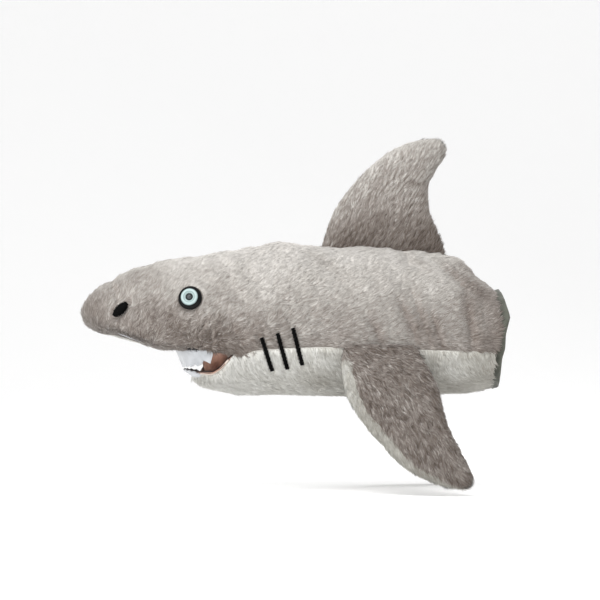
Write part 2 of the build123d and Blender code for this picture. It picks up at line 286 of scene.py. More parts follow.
def plush_ground():
    """Node group for the cloth under the pile: a fine noise drawn out along the lie
    and a broad one mix a dark and a light shade, and give the height of the pile."""
    group = bpy.data.node_groups.new("PlushGround", "ShaderNodeTree")
    inside, outside = group_ends(
        group,
        {"Dark": "NodeSocketColor", "Light": "NodeSocketColor", "Turn": "NodeSocketVector"},
        {"Colour": "NodeSocketColor", "Normal": "NodeSocketVector"},
    )
    nodes, links = group.nodes, group.links
    place = nodes.new("ShaderNodeTexCoord")
    lie = nodes.new("ShaderNodeMapping")
    lie.inputs["Scale"].default_value = (260.0, 260.0, 1500.0)
    links.new(place.outputs["Object"], lie.inputs["Vector"])
    links.new(inside.outputs["Turn"], lie.inputs["Rotation"])
    fine = nodes.new("ShaderNodeTexNoise")
    fine.inputs["Scale"].default_value = 1.0
    fine.inputs["Detail"].default_value = 3.0
    links.new(lie.outputs["Vector"], fine.inputs["Vector"])
    broad = nodes.new("ShaderNodeTexNoise")
    broad.inputs["Scale"].default_value = 60.0
    broad.inputs["Detail"].default_value = 4.0
    links.new(place.outputs["Object"], broad.inputs["Vector"])
    blend_two = nodes.new("ShaderNodeMath")
    blend_two.operation = "MULTIPLY_ADD"
    blend_two.inputs[1].default_value = 0.7
    links.new(fine.outputs["Fac"], blend_two.inputs[0])
    part = nodes.new("ShaderNodeMath")
    part.operation = "MULTIPLY"
    part.inputs[1].default_value = 0.3
    links.new(broad.outputs["Fac"], part.inputs[0])
    links.new(part.outputs[0], blend_two.inputs[2])
    spread = nodes.new("ShaderNodeMapRange")
    spread.inputs["From Min"].default_value = 0.36
    spread.inputs["From Max"].default_value = 0.64
    links.new(blend_two.outputs[0], spread.inputs["Value"])
    mix = nodes.new("ShaderNodeMix")
    mix.data_type = "RGBA"
    links.new(spread.outputs["Result"], mix.inputs[0])
    links.new(inside.outputs["Dark"], mix.inputs[6])
    links.new(inside.outputs["Light"], mix.inputs[7])
    bump = nodes.new("ShaderNodeBump")
    bump.inputs["Strength"].default_value = 0.8
    bump.inputs["Distance"].default_value = 0.0012
    links.new(blend_two.outputs[0], bump.inputs["Height"])
    links.new(mix.outputs[2], outside.inputs["Colour"])
    links.new(bump.outputs["Normal"], outside.inputs["Normal"])
    return group


PLUSH_GROUND = plush_ground()


def shade(red, green, blue):
    """Linear colour from everyday 0-255 values."""
    parts = []
    for value in (red, green, blue):
        c = value / 255.0
        parts.append(c / 12.92 if c <= 0.04045 else ((c + 0.055) / 1.055) ** 2.4)
    return (*parts, 1.0)


def plush_cloth(name, dark, light, turn):
    """Cloth seen between the pile: matt, with a soft sheen."""
    material = bpy.data.materials.new(name)
    material.use_nodes = True
    nodes, links = material.node_tree.nodes, material.node_tree.links
    face = nodes["Principled BSDF"]
    face.inputs["Roughness"].default_value = 0.95
    face.inputs["Specular IOR Level"].default_value = 0.15
    face.inputs["Sheen Weight"].default_value = 0.25
    face.inputs["Sheen Roughness"].default_value = 0.6
    ground = nodes.new("ShaderNodeGroup")
    ground.node_tree = PLUSH_GROUND
    ground.inputs["Dark"].default_value = dark
    ground.inputs["Light"].default_value = light
    ground.inputs["Turn"].default_value = turn
    links.new(ground.outputs["Colour"], face.inputs["Base Color"])
    links.new(ground.outputs["Normal"], face.inputs["Normal"])
    return material


# The cloth under the pile is darker than the pile's shades: painted shade in the clefts between the locks.
grey_cloth = plush_cloth("grey plush cloth", shade(104, 96, 90), shade(150, 143, 137), (0.0, -0.6, 0.0))

# Where the grey cloth ends below its widest line: tucked under the snout, and on the
# seam line behind the mouth.
TUCK_STATIONS = np.array([-0.3160, -0.3080, -0.2960, -0.2560, -0.2440, -0.2000, -0.0085])
TUCK_TURN = np.radians(np.array([-88.0, -78.0, -60.0, -45.0, -34.0, 0.0, 0.0]))

back_panels = {}
for side, label in ((-1, "left"), (1, "right")):
    along = np.linspace(0.0, 1.0, 230)
    x = NOSE_TIP + (HEM - NOSE_TIP) * (0.35 * along**2 + 0.65 * along**1.4)
    start = np.interp(x, TUCK_STATIONS, TUCK_TURN)
    turn = start[:, None] + (np.pi / 2 - start[:, None]) * np.linspace(0, 1, 84)[None, :]
    points = body_point(x[:, None] + np.zeros_like(turn), turn, PILE_DEPTH)
    normals = grid_normals(points, flip=True)
    points = rough_folds(points, normals, 11)
    points = hem_bulge(points, turn, (0, 20, 45, 90), (-1.6, 1.6, -0.5, -4.5))
    points[..., 1] *= side
    panel = new_mesh(f"back_{label}_plush", points, grid_faces(*points.shape[:2]))
    face_away(panel, 0.0)
    wall = cloth_wall(panel, PLUSH_THICK)
    # The cloth is thick at the hem and thin where it rolls under the upper lip.
    spots = np.zeros(len(panel.data.vertices) * 3)
    panel.data.vertices.foreach_get("co", spots)
    behind = spots[0::3] > CORNER_OF_MOUTH
    group = panel.vertex_groups.new(name="thickness")
    group.add(np.flatnonzero(behind).tolist(), 1.0, "REPLACE")
    group.add(np.flatnonzero(~behind).tolist(), 0.25, "REPLACE")
    wall.vertex_group = "thickness"
    panel.data.materials.append(grey_cloth)
    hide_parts(f"back_{label}_panel")
    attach(panel, "body")
    back_panels[label] = panel

# ---------------------------------------------------------------------------
# White underside. One white plush cloth runs from the chin to the hem under the
# hand, sewn to the grey along the side seam. A second small white piece lines the
# underside of the snout.
# ---------------------------------------------------------------------------
CHIN = -0.2350
MOUTH_REAR = -0.2035
# A dent runs down from the seam behind the gills.
DENT = ((-0.137, -0.006), (-0.117, -0.020))
# Station, half width, upper edge, lower line.
WHITE_FORM = np.array([
    (-0.2350, 0.0000, -0.0272, -0.0300),
    (-0.2335, 0.0120, -0.0268, -0.0322),
    (-0.2305, 0.0205, -0.0266, -0.0350),
    (-0.2250, 0.0285, -0.0262, -0.0380),
    (-0.2180, 0.0350, -0.0262, -0.0402),
    (-0.2120, 0.0385, -0.0220, -0.0415),
    (-0.2065, 0.0415, -0.0158, -0.0425),
    (-0.2030, 0.0432, -0.0120, -0.0430),
    (-0.1960, 0.0445, -0.0118, -0.0430),
    (-0.1870, 0.0455, -0.0088, -0.0430),
    (-0.1700, 0.0470, -0.0072, -0.0430),
    (-0.1350, 0.0480, -0.0060, -0.0435),
    (-0.0900, 0.0460, -0.0072, -0.0440),
    (-0.0500, 0.0425, -0.0085, -0.0430),
    (-0.0300, 0.0408, -0.0090, -0.0420),
    (-0.0180, 0.0403, -0.0093, -0.0405),
    (-0.0085, 0.0400, -0.0095, -0.0390),
])


def white_point(x, turn, pull=0.0):
    """Point of the white cloth: at station x a half oval hangs below the upper edge;
    turn is 0 at the right edge and 180 degrees at the left."""
    half, edge, low = form_at(x, WHITE_FORM)
    across = drawn_in(half, pull) * oval_share(turn)
    drop = drawn_in(edge - low, pull) * np.sin(turn) ** 0.96
    return np.stack([x + np.zeros_like(turn), across, edge - drop], axis=-1)


# The cloth under the pile is darker than the pile's shades: painted shade in the clefts between the locks.
white_cloth = plush_cloth("white plush cloth", shade(150, 147, 140), shade(192, 190, 184), (0.0, 1.5, 0.0))
along = np.linspace(0.0, 1.0, 200)
x = CHIN + (HEM - CHIN) * (0.4 * along**2 + 0.6 * along**1.3)
turn = np.linspace(0.0, np.pi, 130)[None, :] + np.zeros((200, 1))
belly_grid = white_point(x[:, None] + np.zeros_like(turn), turn, PILE_DEPTH)
normals = grid_normals(belly_grid, flip=True)
lumps = 0.0006 * waves(belly_grid.reshape(-1, 3), 0.045, 31).reshape(turn.shape)
lumps -= 0.0018 * crease(belly_grid[..., 0], belly_grid[..., 2], DENT, 0.0040)
belly_grid = belly_grid + normals * (lumps * np.clip((x[:, None] - CHIN) / 0.02, 0, 1))[..., None]
belly_grid = hem_bulge(
    belly_grid, turn, (0, 30, 60, 90, 120, 150, 180), (-1.6, -3.5, -5.5, -6.5, -5.5, -3.5, -1.6)
)
belly = new_mesh("belly_plush", belly_grid, grid_faces(*turn.shape))
face_away(belly, 0.010)
cloth_wall(belly, PLUSH_THICK)
belly.data.materials.append(white_cloth)
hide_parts("belly_panel", "throat_fold", "jaw_skin")
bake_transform(belly)

along = np.linspace(0.0, 1.0, 70)
x = NOSE_TIP + 0.0004 + (MOUTH_REAR - NOSE_TIP) * (0.5 * along**2 + 0.5 * along)
start = np.interp(x, TUCK_STATIONS, TUCK_TURN)
reach = np.pi / 2 + start
turn = start[:, None] - 2 * reach[:, None] * np.linspace(0, 1, 60)[None, :]
snout_grid = body_point(x[:, None] + np.zeros_like(turn), turn, PILE_DEPTH + 0.0020)
snout_under = new_mesh("snout_underside_plush", snout_grid, grid_faces(70, 60))
face_away(snout_under, 0.025)
cloth_wall(snout_under, 0.0016)
snout_under.data.materials.append(white_cloth)
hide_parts("snout_underside_panel")
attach(snout_under, "body")

# ---------------------------------------------------------------------------
# Side fins. Each is a stuffed flat fin of grey plush outside and white plush inside,
# sewn round its edge and into the side seam; the white shows along the front edge.
# ---------------------------------------------------------------------------
FIN_ROOT = (0.0512, -0.0080)
FIN_SPLAY = math.radians(10.0)
FIN_THICK = 0.0120
SWELL = 0.0012
# Share of the fin's breadth that the white band takes, at shares of the way to the tip.
WHITE_BAND = ((0.0, 0.10, 0.35, 0.60, 0.85, 1.0), (0.02, 0.10, 0.125, 0.15, 0.17, 0.15))
# Along the body, and down the fin from its root.
FIN_FRONT = np.array([
    (-0.1215, -0.0030), (-0.1232, 0.0090), (-0.1218, 0.0220), (-0.1181, 0.0360), (-0.1072, 0.0538),
    (-0.0934, 0.0701), (-0.0777, 0.0859), (-0.0609, 0.0951), (-0.0443, 0.1003), (-0.0345, 0.1003),
])
FIN_REAR = np.array([
    (-0.0702, -0.0030), (-0.0655, 0.0070), (-0.0609, 0.0143), (-0.0555, 0.0247), (-0.0519, 0.0376),
    (-0.0475, 0.0545), (-0.0395, 0.0715), (-0.0323, 0.0859), (-0.0294, 0.0937), (-0.0300, 0.0975),
])


def curve_through(points, t):
    """Points along a smooth curve through the given ones; t runs from 0 to 1 by the
    distance walked."""
    walked = np.concatenate([[0], np.cumsum(np.hypot(*np.diff(points, axis=0).T))])
    walked = walked / walked[-1]
    return np.stack([smooth_between(t, walked, column) for column in points.T], axis=-1)


def stuffed_fin(front, rear, thick, rows, around):
    """Closed fin in its own plane: at each step from root to tip an oval runs from
    the front curve round to the rear curve; it is thin at its edges and at the tip.
    The third coordinate is the depth, out of the plane."""
    t = np.linspace(0, 1, rows)
    lead, trail = curve_through(front, t), curve_through(rear, t)
    angle = np.linspace(0, 2 * np.pi, around, endpoint=False)
    middle, half = (lead + trail) / 2, (trail - lead) / 2
    body = thick / 2 * np.sqrt(np.clip(1 - t**6, 0, 1)) * (0.45 + 0.55 * np.clip(t / 0.25, 0, 1))
    deep = np.sign(np.sin(angle)) * np.abs(np.sin(angle)) ** 0.8
    flat = middle[:, None, :] - half[:, None, :] * np.cos(angle)[None, :, None]
    return np.concatenate([flat, (body[:, None] * deep[None, :])[..., None]], axis=-1)


def ring_faces(rows, around):
    """Four-cornered faces between neighbouring rings of a stack of closed rings."""
    a = np.arange(rows - 1)[:, None] * around
    b = np.arange(around)[None, :]
    c = (b + 1) % around
    return np.stack([a + b, a + c, a + around + c, a + around + b], axis=-1).reshape(-1, 4).tolist()


def closed_tube(name, rings):
    """Object from a stack of closed rings, with each end drawn to a point."""
    rows, around = rings.shape[:2]
    here = np.arange(around)
    after = (here + 1) % around
    last = (rows - 1) * around
    near_end = np.stack([after, here, np.full(around, rows * around)], axis=1)
    far_end = np.stack([last + here, last + after, np.full(around, rows * around + 1)], axis=1)
    points = np.concatenate([rings.reshape(-1, 3), [rings[0].mean(axis=0)], [rings[-1].mean(axis=0)]])
    faces = ring_faces(rows, around) + near_end.tolist() + far_end.tolist()
    return new_mesh(name, points, faces, weld=0, turn_out=True)


def fill_out(obj, limit, frames=16):
    """Let the sewn cloth fill out by a cloth simulation with pressure from inside and
    no gravity; no point ends further than the limit from where it was."""
    count = len(obj.data.vertices) * 3
    before, after = np.zeros(count), np.zeros(count)
    obj.data.vertices.foreach_get("co", before)
    cloth = obj.modifiers.new("fill", "CLOTH")
    cloth.settings.use_pressure = True
    cloth.settings.uniform_pressure_force = 4.0
    cloth.settings.effector_weights.gravity = 0.0
    cloth.settings.mass = 0.1
    cloth.settings.tension_stiffness = 25.0
    cloth.settings.compression_stiffness = 25.0
    cloth.settings.bending_stiffness = 0.05
    cloth.point_cache.frame_start = 1
    cloth.point_cache.frame_end = frames
    for number in range(1, frames + 1):
        bpy.context.scene.frame_set(number)
    shaped = obj.evaluated_get(bpy.context.evaluated_depsgraph_get())
    shaped.data.vertices.foreach_get("co", after)
    obj.modifiers.remove(cloth)
    bpy.context.scene.frame_set(1)
    step = (after - before).reshape(-1, 3)
    far = np.linalg.norm(step, axis=1)
    step *= (np.minimum(far, limit) / np.maximum(far, 1e-12))[:, None]
    obj.data.vertices.foreach_set("co", (before.reshape(-1, 3) + step).ravel())
    obj.data.update()


def fin_colours(obj, rows, around, white_band):
    """Grey on the outer half and white on the inner one and on a band behind the
    front edge; the first rows and the two ends are all grey."""
    angle = (np.arange(around) + 0.5) / around * 2 * np.pi
    band = np.interp(np.linspace(0, 1, rows - 1), *white_band)
    reach = (1 - np.cos(angle))[None, :] / 2
    white = (np.sin(angle)[None, :] < 0) | (reach < band[:, None])
    white[:6] = False
    slots = np.concatenate([white.ravel().astype(int), np.zeros(2 * around, int)])
    obj.data.polygons.foreach_set("material_index", slots)
    obj.data.update()


fins = {}
rows, around = 90, 72
shape = stuffed_fin(FIN_FRONT, FIN_REAR, FIN_THICK, rows, around)
# Towards the root the fin leans in, to be sewn into the side seam.
lean_in = 0.0062 * np.clip(1 - np.linspace(0, 1, rows) / 0.22, 0, 1) ** 1.6
for side, label in ((-1, "left"), (1, "right")):
    down = np.array([0.0, side * math.sin(FIN_SPLAY), -math.cos(FIN_SPLAY)])
    out = np.array([0.0, side * math.cos(FIN_SPLAY), math.sin(FIN_SPLAY)])
    root = np.array([0.0, side * FIN_ROOT[0], FIN_ROOT[1]])
    rings = shape[..., 0:1] * np.array([1.0, 0, 0]) + shape[..., 1:2] * down + shape[..., 2:3] * out + root
    rings[..., 1] -= side * lean_in[:, None]
    fin = closed_tube(f"fin_{label}_plush", rings)
    fin.data.materials.append(grey_cloth)
    fin.data.materials.append(white_cloth)
    fin_colours(fin, rows, around, WHITE_BAND)
    fill_out(fin, SWELL)
    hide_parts(f"fin_top_{label}", f"fin_underside_{label}", f"fin_stuffing_{label}")
    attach(fin, f"{label}_fin")
    fins[label] = fin

# ---------------------------------------------------------------------------
# Back fin. Two grey plush sides sewn round the edge, firmly stuffed, with a hooked
# tip and a hollow rear edge; its foot is sewn down along the spine.
# ---------------------------------------------------------------------------
DORSAL_FRONT = np.array([
    (-0.1385, 0.0660), (-0.1365, 0.0715), (-0.1276, 0.0951), (-0.1170, 0.1105), (-0.1044, 0.1243),
    (-0.0804, 0.1420), (-0.0610, 0.1478), (-0.0530, 0.1478), (-0.0475, 0.1455),
])
DORSAL_REAR = np.array([
    (-0.0458, 0.0590), (-0.0468, 0.0650), (-0.0520, 0.0794), (-0.0575, 0.0939), (-0.0587, 0.1044),
    (-0.0583, 0.1138), (-0.0530, 0.1254), (-0.0462, 0.1370), (-0.0452, 0.1420),
])
rows, around = 80, 64
shape = stuffed_fin(DORSAL_FRONT, DORSAL_REAR, 0.0175, rows, around)
rings = np.stack([shape[..., 0], -shape[..., 2], shape[..., 1]], axis=-1)
dorsal = closed_tube("dorsal_fin_plush", rings)
dorsal.data.materials.append(grey_cloth)
fill_out(dorsal, SWELL)
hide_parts("dorsal_left_skin", "dorsal_right_skin", "dorsal_stuffing")
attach(dorsal, "dorsal_fin")

# ---------------------------------------------------------------------------
# Eyes. Black moulded safety eyes with a raised rim, a pale mint ring and a small
# black bead for a pupil; each is pushed through the plush and held by a washer.
# ---------------------------------------------------------------------------
EYE_SPOT = (-0.2348, 0.0338, 0.0298)
EYE_AIM = (-0.150, 0.960, 0.235)


def turned(name, profile, seat, axis, around=72):
    """Round piece about an axis: each (radius, height) of the profile is carried round
    the axis from the seat. A mesh attribute keeps the place along the profile."""
    axis = axis / np.linalg.norm(axis)
    side_way = np.cross(axis, [0.0, 0.0, 1.0])
    side_way /= np.linalg.norm(side_way)
    up_way = np.cross(side_way, axis)
    angle = np.linspace(0, 2 * np.pi, around, endpoint=False)
    round_way = np.cos(angle)[:, None] * side_way + np.sin(angle)[:, None] * up_way
    radius, height = profile[:, 0], profile[:, 1]
    points = seat + radius[:, None, None] * round_way[None] + height[:, None, None] * axis
    obj = new_mesh(name, points, ring_faces(len(profile), around), weld=0)
    mark = obj.data.attributes.new("along", "FLOAT", "POINT")
    mark.data.foreach_set("value", np.repeat(np.linspace(0, 1, len(profile)), around))
    bm = bmesh.new()
    bm.from_mesh(obj.data)
    bmesh.ops.remove_doubles(bm, verts=bm.verts, dist=2e-6)
    bmesh.ops.recalc_face_normals(bm, faces=bm.faces)
    bm.to_mesh(obj.data)
    bm.free()
    return obj


def arc_profile(centre_r, centre_h, r_r, r_h, start, end, steps):
    """Profile points on an oval arc between two angles."""
    angle = np.radians(np.linspace(start, end, steps))
    return np.stack([centre_r + r_r * np.cos(angle), centre_h + r_h * np.sin(angle)], axis=1)


def uneven_polish():
    """Node group for moulded plastic: a fine noise takes the roughness from 0.8 to 1.3
    times its even value."""
    group = bpy.data.node_groups.new("UnevenPolish", "ShaderNodeTree")
    inside, outside = group_ends(group, {"Even": "NodeSocketFloat"}, {"Roughness": "NodeSocketFloat"})
    nodes, links = group.nodes, group.links
    place = nodes.new("ShaderNodeTexCoord")
    cloud = nodes.new("ShaderNodeTexNoise")
    cloud.inputs["Scale"].default_value = 900.0
    links.new(place.outputs["Object"], cloud.inputs["Vector"])
    share = nodes.new("ShaderNodeMapRange")
    share.inputs["To Min"].default_value = 0.8
    share.inputs["To Max"].default_value = 1.3
    links.new(cloud.outputs["Fac"], share.inputs["Value"])
    times = nodes.new("ShaderNodeMath")
    times.operation = "MULTIPLY"
    links.new(share.outputs["Result"], times.inputs[0])
    links.new(inside.outputs["Even"], times.inputs[1])
    links.new(times.outputs[0], outside.inputs["Roughness"])
    return group


UNEVEN_POLISH = uneven_polish()


def gloss(name, colour, roughness, coat):
    """Moulded plastic with a faint unevenness in its polish."""
    material = bpy.data.materials.new(name)
    material.use_nodes = True
    nodes, links = material.node_tree.nodes, material.node_tree.links
    face = nodes["Principled BSDF"]
    face.inputs["Base Color"].default_value = colour
    face.inputs["Coat Weight"].default_value = coat
    face.inputs["Coat Roughness"].default_value = 0.04
    face.inputs["Specular IOR Level"].default_value = 0.16
    polish = nodes.new("ShaderNodeGroup")
    polish.node_tree = UNEVEN_POLISH
    polish.inputs["Even"].default_value = roughness
    links.new(polish.outputs["Roughness"], face.inputs["Roughness"])
    return material


eye_black = gloss("eye black", shade(5, 6, 7), 0.35, 0.0)
bead_black = gloss("pupil black", shade(58, 62, 64), 0.18, 0.5)
iris_mint = gloss("iris mint", shade(150, 176, 172), 0.35, 0.2)
nodes, links = iris_mint.node_tree.nodes, iris_mint.node_tree.links
mark = nodes.new("ShaderNodeAttribute")
mark.attribute_name = "along"
ring = nodes.new("ShaderNodeValToRGB")
# Both ends of the ramp are dark teal: painted shade at the ring's inner and outer edges.
for edge in ring.color_ramp.elements:
    edge.color = shade(40, 58, 60)
# Mint shades over the ring's crown, from its outer side to its inner one: darker towards both edges as
# painted shade where the round crown turns away, with a darker band across its middle.
MINT = (
    (0.10, (118, 136, 137)), (0.20, (160, 178, 178)), (0.40, (172, 188, 187)), (0.50, (122, 140, 141)),
    (0.60, (162, 180, 179)), (0.76, (156, 174, 173)), (0.86, (66, 82, 84)),
)
for spot, tone in MINT:
    ring.color_ramp.elements.new(spot).color = shade(*tone)
links.new(mark.outputs["Fac"], ring.inputs["Fac"])
links.new(ring.outputs["Color"], nodes["Principled BSDF"].inputs["Base Color"])

washer_white = gloss("washer plastic", shade(216, 215, 208), 0.5, 0.0)
eyes = {}
for side, label in ((-1, "left"), (1, "right")):
    axis = np.array(EYE_AIM) * (1, side, 1)
    axis /= np.linalg.norm(axis)
    seat = np.array(EYE_SPOT) * (1, side, 1) + axis * 0.0004
    shell_profile = np.concatenate([
        [(0.0, -0.0060), (0.0021, -0.0060), (0.0022, -0.0012)],
        [(0.0070, -0.0010)],
        arc_profile(0.0074, 0.0008, 0.0015, 0.0018, -90, 70, 12),
        arc_profile(0.0050, 0.0012, 0.0032, 0.0030, 60, 92, 6),
        [(0.0, 0.0040)],
    ])
    shell = turned(f"eye_{label}_shell", shell_profile, seat, axis)
    shell.data.materials.append(eye_black)
    ring_profile = np.concatenate([
        arc_profile(0.0045, 0.0038, 0.0019, 0.0014, 0, 180, 22),
        [(0.0026, 0.0030), (0.0064, 0.0030), (0.0064, 0.0038)],
    ])
    iris = turned(f"eye_{label}_iris", ring_profile, seat, axis)
    iris.data.materials.append(iris_mint)
    bead_profile = np.concatenate([arc_profile(0.0, 0.0040, 0.0021, 0.0019, 90, -60, 18), [(0.0, 0.0020)]])
    bead = turned(f"eye_{label}_pupil", bead_profile, seat, axis)
    bead.data.materials.append(bead_black)
    for piece, node, finish in (
        (shell, "eye_shell", "black_plastic"),
        (iris, "iris", "mint_plastic"),
        (bead, "pupil", "black_plastic"),
    ):
        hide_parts(f"{node}_{label}")
        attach(piece, "body")
    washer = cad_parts[f"eye_washer_{label}"]
    for place in washer.material_slots:
        place.material = washer_white
    eyes[label] = (seat, axis)

# ---------------------------------------------------------------------------
# Pile. Thousands of short tufts stand in the plush and lie over each other, combed
# back along the body and down the fins; each takes one of a few shades, which stand for the dye and for
# painted light and shade.
# ---------------------------------------------------------------------------


def soft_fibre(name, colour):
    """One shade of the pile, standing for its dye and for painted light and shade: matt, with a soft sheen.
    """
    material = bpy.data.materials.new(name)
    material.use_nodes = True
    face = material.node_tree.nodes["Principled BSDF"]
    face.inputs["Base Color"].default_value = colour
    face.inputs["Roughness"].default_value = 0.9
    face.inputs["Specular IOR Level"].default_value = 0.2
    face.inputs["Sheen Weight"].default_value = 0.2
    face.inputs["Sheen Roughness"].default_value = 0.5
    return material


# Shades from dark to pale, which stand both for the dye's own variation and for painted light and shade; a
# tuft's value is compared with their red values.
GREY_DYES_AND_PAINTED_LIGHT = (
    (84, 75, 69), (104, 94, 87), (122, 113, 106), (140, 132, 126),
    (158, 152, 146), (174, 169, 163), (190, 186, 180), (204, 200, 195),
)
WHITE_DYES_AND_PAINTED_LIGHT = ((150, 146, 138), (168, 165, 157), (184, 182, 175), (199, 198, 192), (214, 213, 208))
GREY_MARKS = np.array(GREY_DYES_AND_PAINTED_LIGHT)[:, 0]
WHITE_MARKS = np.array(WHITE_DYES_AND_PAINTED_LIGHT)[:, 0]
GREY_SHADES = [soft_fibre(f"grey pile {k}", shade(*tone)) for k, tone in enumerate(GREY_DYES_AND_PAINTED_LIGHT)]
WHITE_SHADES = [soft_fibre(f"white pile {k}", shade(*tone)) for k, tone in enumerate(WHITE_DYES_AND_PAINTED_LIGHT)]

# Stitched lines on each flank, seen from the side: gill lines and the nostril.
GILL_LINES = (
    ((-0.1822, 0.0009), (-0.1744, -0.0238)),
    ((-0.1705, 0.0042), (-0.1632, -0.0224)),
    ((-0.1592, 0.0080), (-0.1523, -0.0193)),
)
NOSTRIL_LINE = ((-0.2819, 0.0264), (-0.2921, 0.0167))


def line_gap(x, z, ends):
    """Distance in the side view from a straight line between two points."""
    (x0, z0), (x1, z1) = ends
    dx, dz = x1 - x0, z1 - z0
    t = np.clip(((x - x0) * dx + (z - z0) * dz) / (dx * dx + dz * dz), 0, 1)
    return np.hypot(x - x0 - t * dx, z - z0 - t * dz)


def skin_samples(obj, count, rng, stations):
    """Points spread evenly over an object's faces between two stations, with the
    smooth normal and the material number there: faces are drawn by area, then a point
    inside each."""
    mesh = obj.data
    mesh.calc_loop_triangles()
    total = len(mesh.loop_triangles)
    corner, owner = np.zeros(total * 3, int), np.zeros(total, int)
    mesh.loop_triangles.foreach_get("vertices", corner)
    mesh.loop_triangles.foreach_get("material_index", owner)
    spots, aims = np.zeros(len(mesh.vertices) * 3), np.zeros(len(mesh.vertices) * 3)
    mesh.vertices.foreach_get("co", spots)
    mesh.vertices.foreach_get("normal", aims)
    spots, aims, corner = spots.reshape(-1, 3), aims.reshape(-1, 3), corner.reshape(-1, 3)
    a, b, c = (spots[corner[:, k]] for k in range(3))
    area = np.linalg.norm(np.cross(b - a, c - a), axis=1)
    middle = (a + b + c)[:, 0] / 3
    area = area * ((middle >= stations[0]) & (middle < stations[1]))
    grown = np.cumsum(area)
    pick = np.searchsorted(grown, (np.arange(count) + rng.random(count)) / count * grown[-1] * 0.999999)
    r1, r2 = np.sqrt(rng.random(count))[:, None], rng.random(count)[:, None]
    wa, wb, wc = 1 - r1, r1 * (1 - r2), r1 * r2
    point = wa * a[pick] + wb * b[pick] + wc * c[pick]
    na, nb, nc = (aims[corner[pick, k]] for k in range(3))
    normal = wa * na + wb * nb + wc * nc
    return point, normal / np.linalg.norm(normal, axis=1)[:, None], owner[pick]


def comb_pile(name, skin, count, lie, tones, shades, seed, length=0.0046, width=0.00056, keep=None,
              stations=(-1.0, 1.0)):
    """Tufts on a skin. Each is a four-faced spike: a flat foot with a low ridge, drawn
    out to a point along the lie of the pile, which is turned by small random lumps so
    that neighbours gather in locks. lie gives the direction and how unruly it is,
    tones gives each tuft's place among the shades, and keep says which tufts stay."""
    rng = np.random.default_rng(seed)
    point, normal, owner = skin_samples(skin, count, rng, stations)
    way, unruly = lie(point, normal)
    way = way - (way * normal).sum(axis=1)[:, None] * normal
    way /= np.maximum(np.linalg.norm(way, axis=1), 1e-9)[:, None]
    side_way = np.cross(normal, way)
    swing = 0.13 * waves(point, 0.009, 1) + 0.12 * waves(point, 0.0035, 2) + rng.normal(0, 0.12, count)
    swing = (swing * unruly)[:, None]
    turned_way = way * np.cos(swing) + side_way * np.sin(swing)
    side_way = side_way * np.cos(swing) - way * np.sin(swing)
    way = turned_way
    rise = 0.17 + 0.04 * waves(point, 0.0035, 3) + rng.normal(0, 0.04, count)
    rise = np.clip(rise, 0.03, 0.8)[:, None]
    reach = (length * (1 + 0.16 * waves(point, 0.004, 4) + rng.normal(0, 0.12, count)))[:, None]
    reach = np.maximum(reach, length * 0.4)
    tip_way = way * np.cos(rise) + normal * np.sin(rise)
    half = (width / 2 * rng.uniform(0.6, 1.3, count))[:, None]
    foot = point - normal * 0.00015
    left, right = foot - side_way * half, foot + side_way * half
    tip = point + tip_way * reach
    ridge = foot * 0.8 + tip * 0.2 + normal * 0.00022
    shade_of = tones(point, normal, owner, rng)
    if keep is not None:
        stay = keep(point, tip, normal, rng)
        left, right, ridge, tip = left[stay], right[stay], ridge[stay], tip[stay]
        normal, side_way, way, shade_of = normal[stay], side_way[stay], way[stay], shade_of[stay]
    total = len(left)
    spots = np.stack([left, right, ridge, tip], axis=1).reshape(-1, 3)
    pattern = np.array([(0, 2, 3), (2, 1, 3), (1, 0, 3), (0, 1, 2)])
    # The faces are turned round if they wind inwards.
    probe = np.cross(ridge - left, tip - left)
    if ((probe * (normal - side_way)).sum(axis=1)).mean() < 0:
        pattern = pattern[:, ::-1]
    corners = (np.arange(total)[:, None, None] * 4 + pattern[None]).reshape(-1)
    mesh = bpy.data.meshes.new(name)
    mesh.vertices.add(total * 4)
    mesh.vertices.foreach_set("co", spots.ravel())
    mesh.loops.add(total * 12)
    mesh.loops.foreach_set("vertex_index", corners)
    mesh.polygons.add(total * 4)
    mesh.polygons.foreach_set("loop_start", np.arange(0, total * 12, 3))
    mesh.polygons.foreach_set("material_index", np.repeat(shade_of, 4))
    mesh.update(calc_edges=True)
    mesh.polygons.foreach_set("use_smooth", [True] * (total * 4))
    soft = np.stack([normal - 0.45 * side_way, normal + 0.45 * side_way, normal, normal + 0.2 * way], axis=1)
    soft = soft.reshape(-1, 3)
    soft /= np.linalg.norm(soft, axis=1)[:, None]
    mesh.normals_split_custom_set_from_vertices(soft.tolist())
    for tone in shades:
        mesh.materials.append(tone)
    return placed(name, mesh)


def nearest_shade(value, marks):
    """Number of the shade nearest each value."""
    return np.clip(np.round(np.interp(value, marks, np.arange(len(marks)))), 0, len(marks) - 1).astype(int)


def streaks(point, way, size, seed):
    """Random field drawn out about six times along one direction."""
    way = np.array(way) / np.linalg.norm(way)
    return waves(point - 0.84 * (point @ way)[:, None] * way, size, seed)


def spot_of(x, z, at, wide):
    """Soft oval spot in the side view: 1 at its middle, falling off over its widths."""
    return np.exp(-(((x - at[0]) / wide[0]) ** 2) - ((z - at[1]) / wide[1]) ** 2)


def back_lie(point, normal):
    """Pile on the back: back and up the flank, steeper and more unruly on the snout
    and cheek."""
    x, z = point[:, 0], point[:, 2]
    slope = np.interp(x, [-0.31, -0.27, -0.23, -0.19, 0.0], [1.20, 1.05, 0.80, 0.58, 0.45])
    seam = np.clip((z + 0.001) / 0.010, -0.9, 1)
    lip = np.clip((z + 0.005) / 0.012, -0.9, 1)
    snout = np.clip((z + 0.020) / 0.020, 0.3, 1)
    slope = slope * np.where(x > -0.2, seam, np.where(x > -0.255, lip, snout))
    cheek = np.exp(-(((x + 0.235) / 0.05) ** 2) - ((z + 0.002) / 0.018) ** 2)
    return np.stack([np.cos(slope), np.zeros(len(x)), np.sin(slope)], axis=1), 1 + 2.0 * cheek


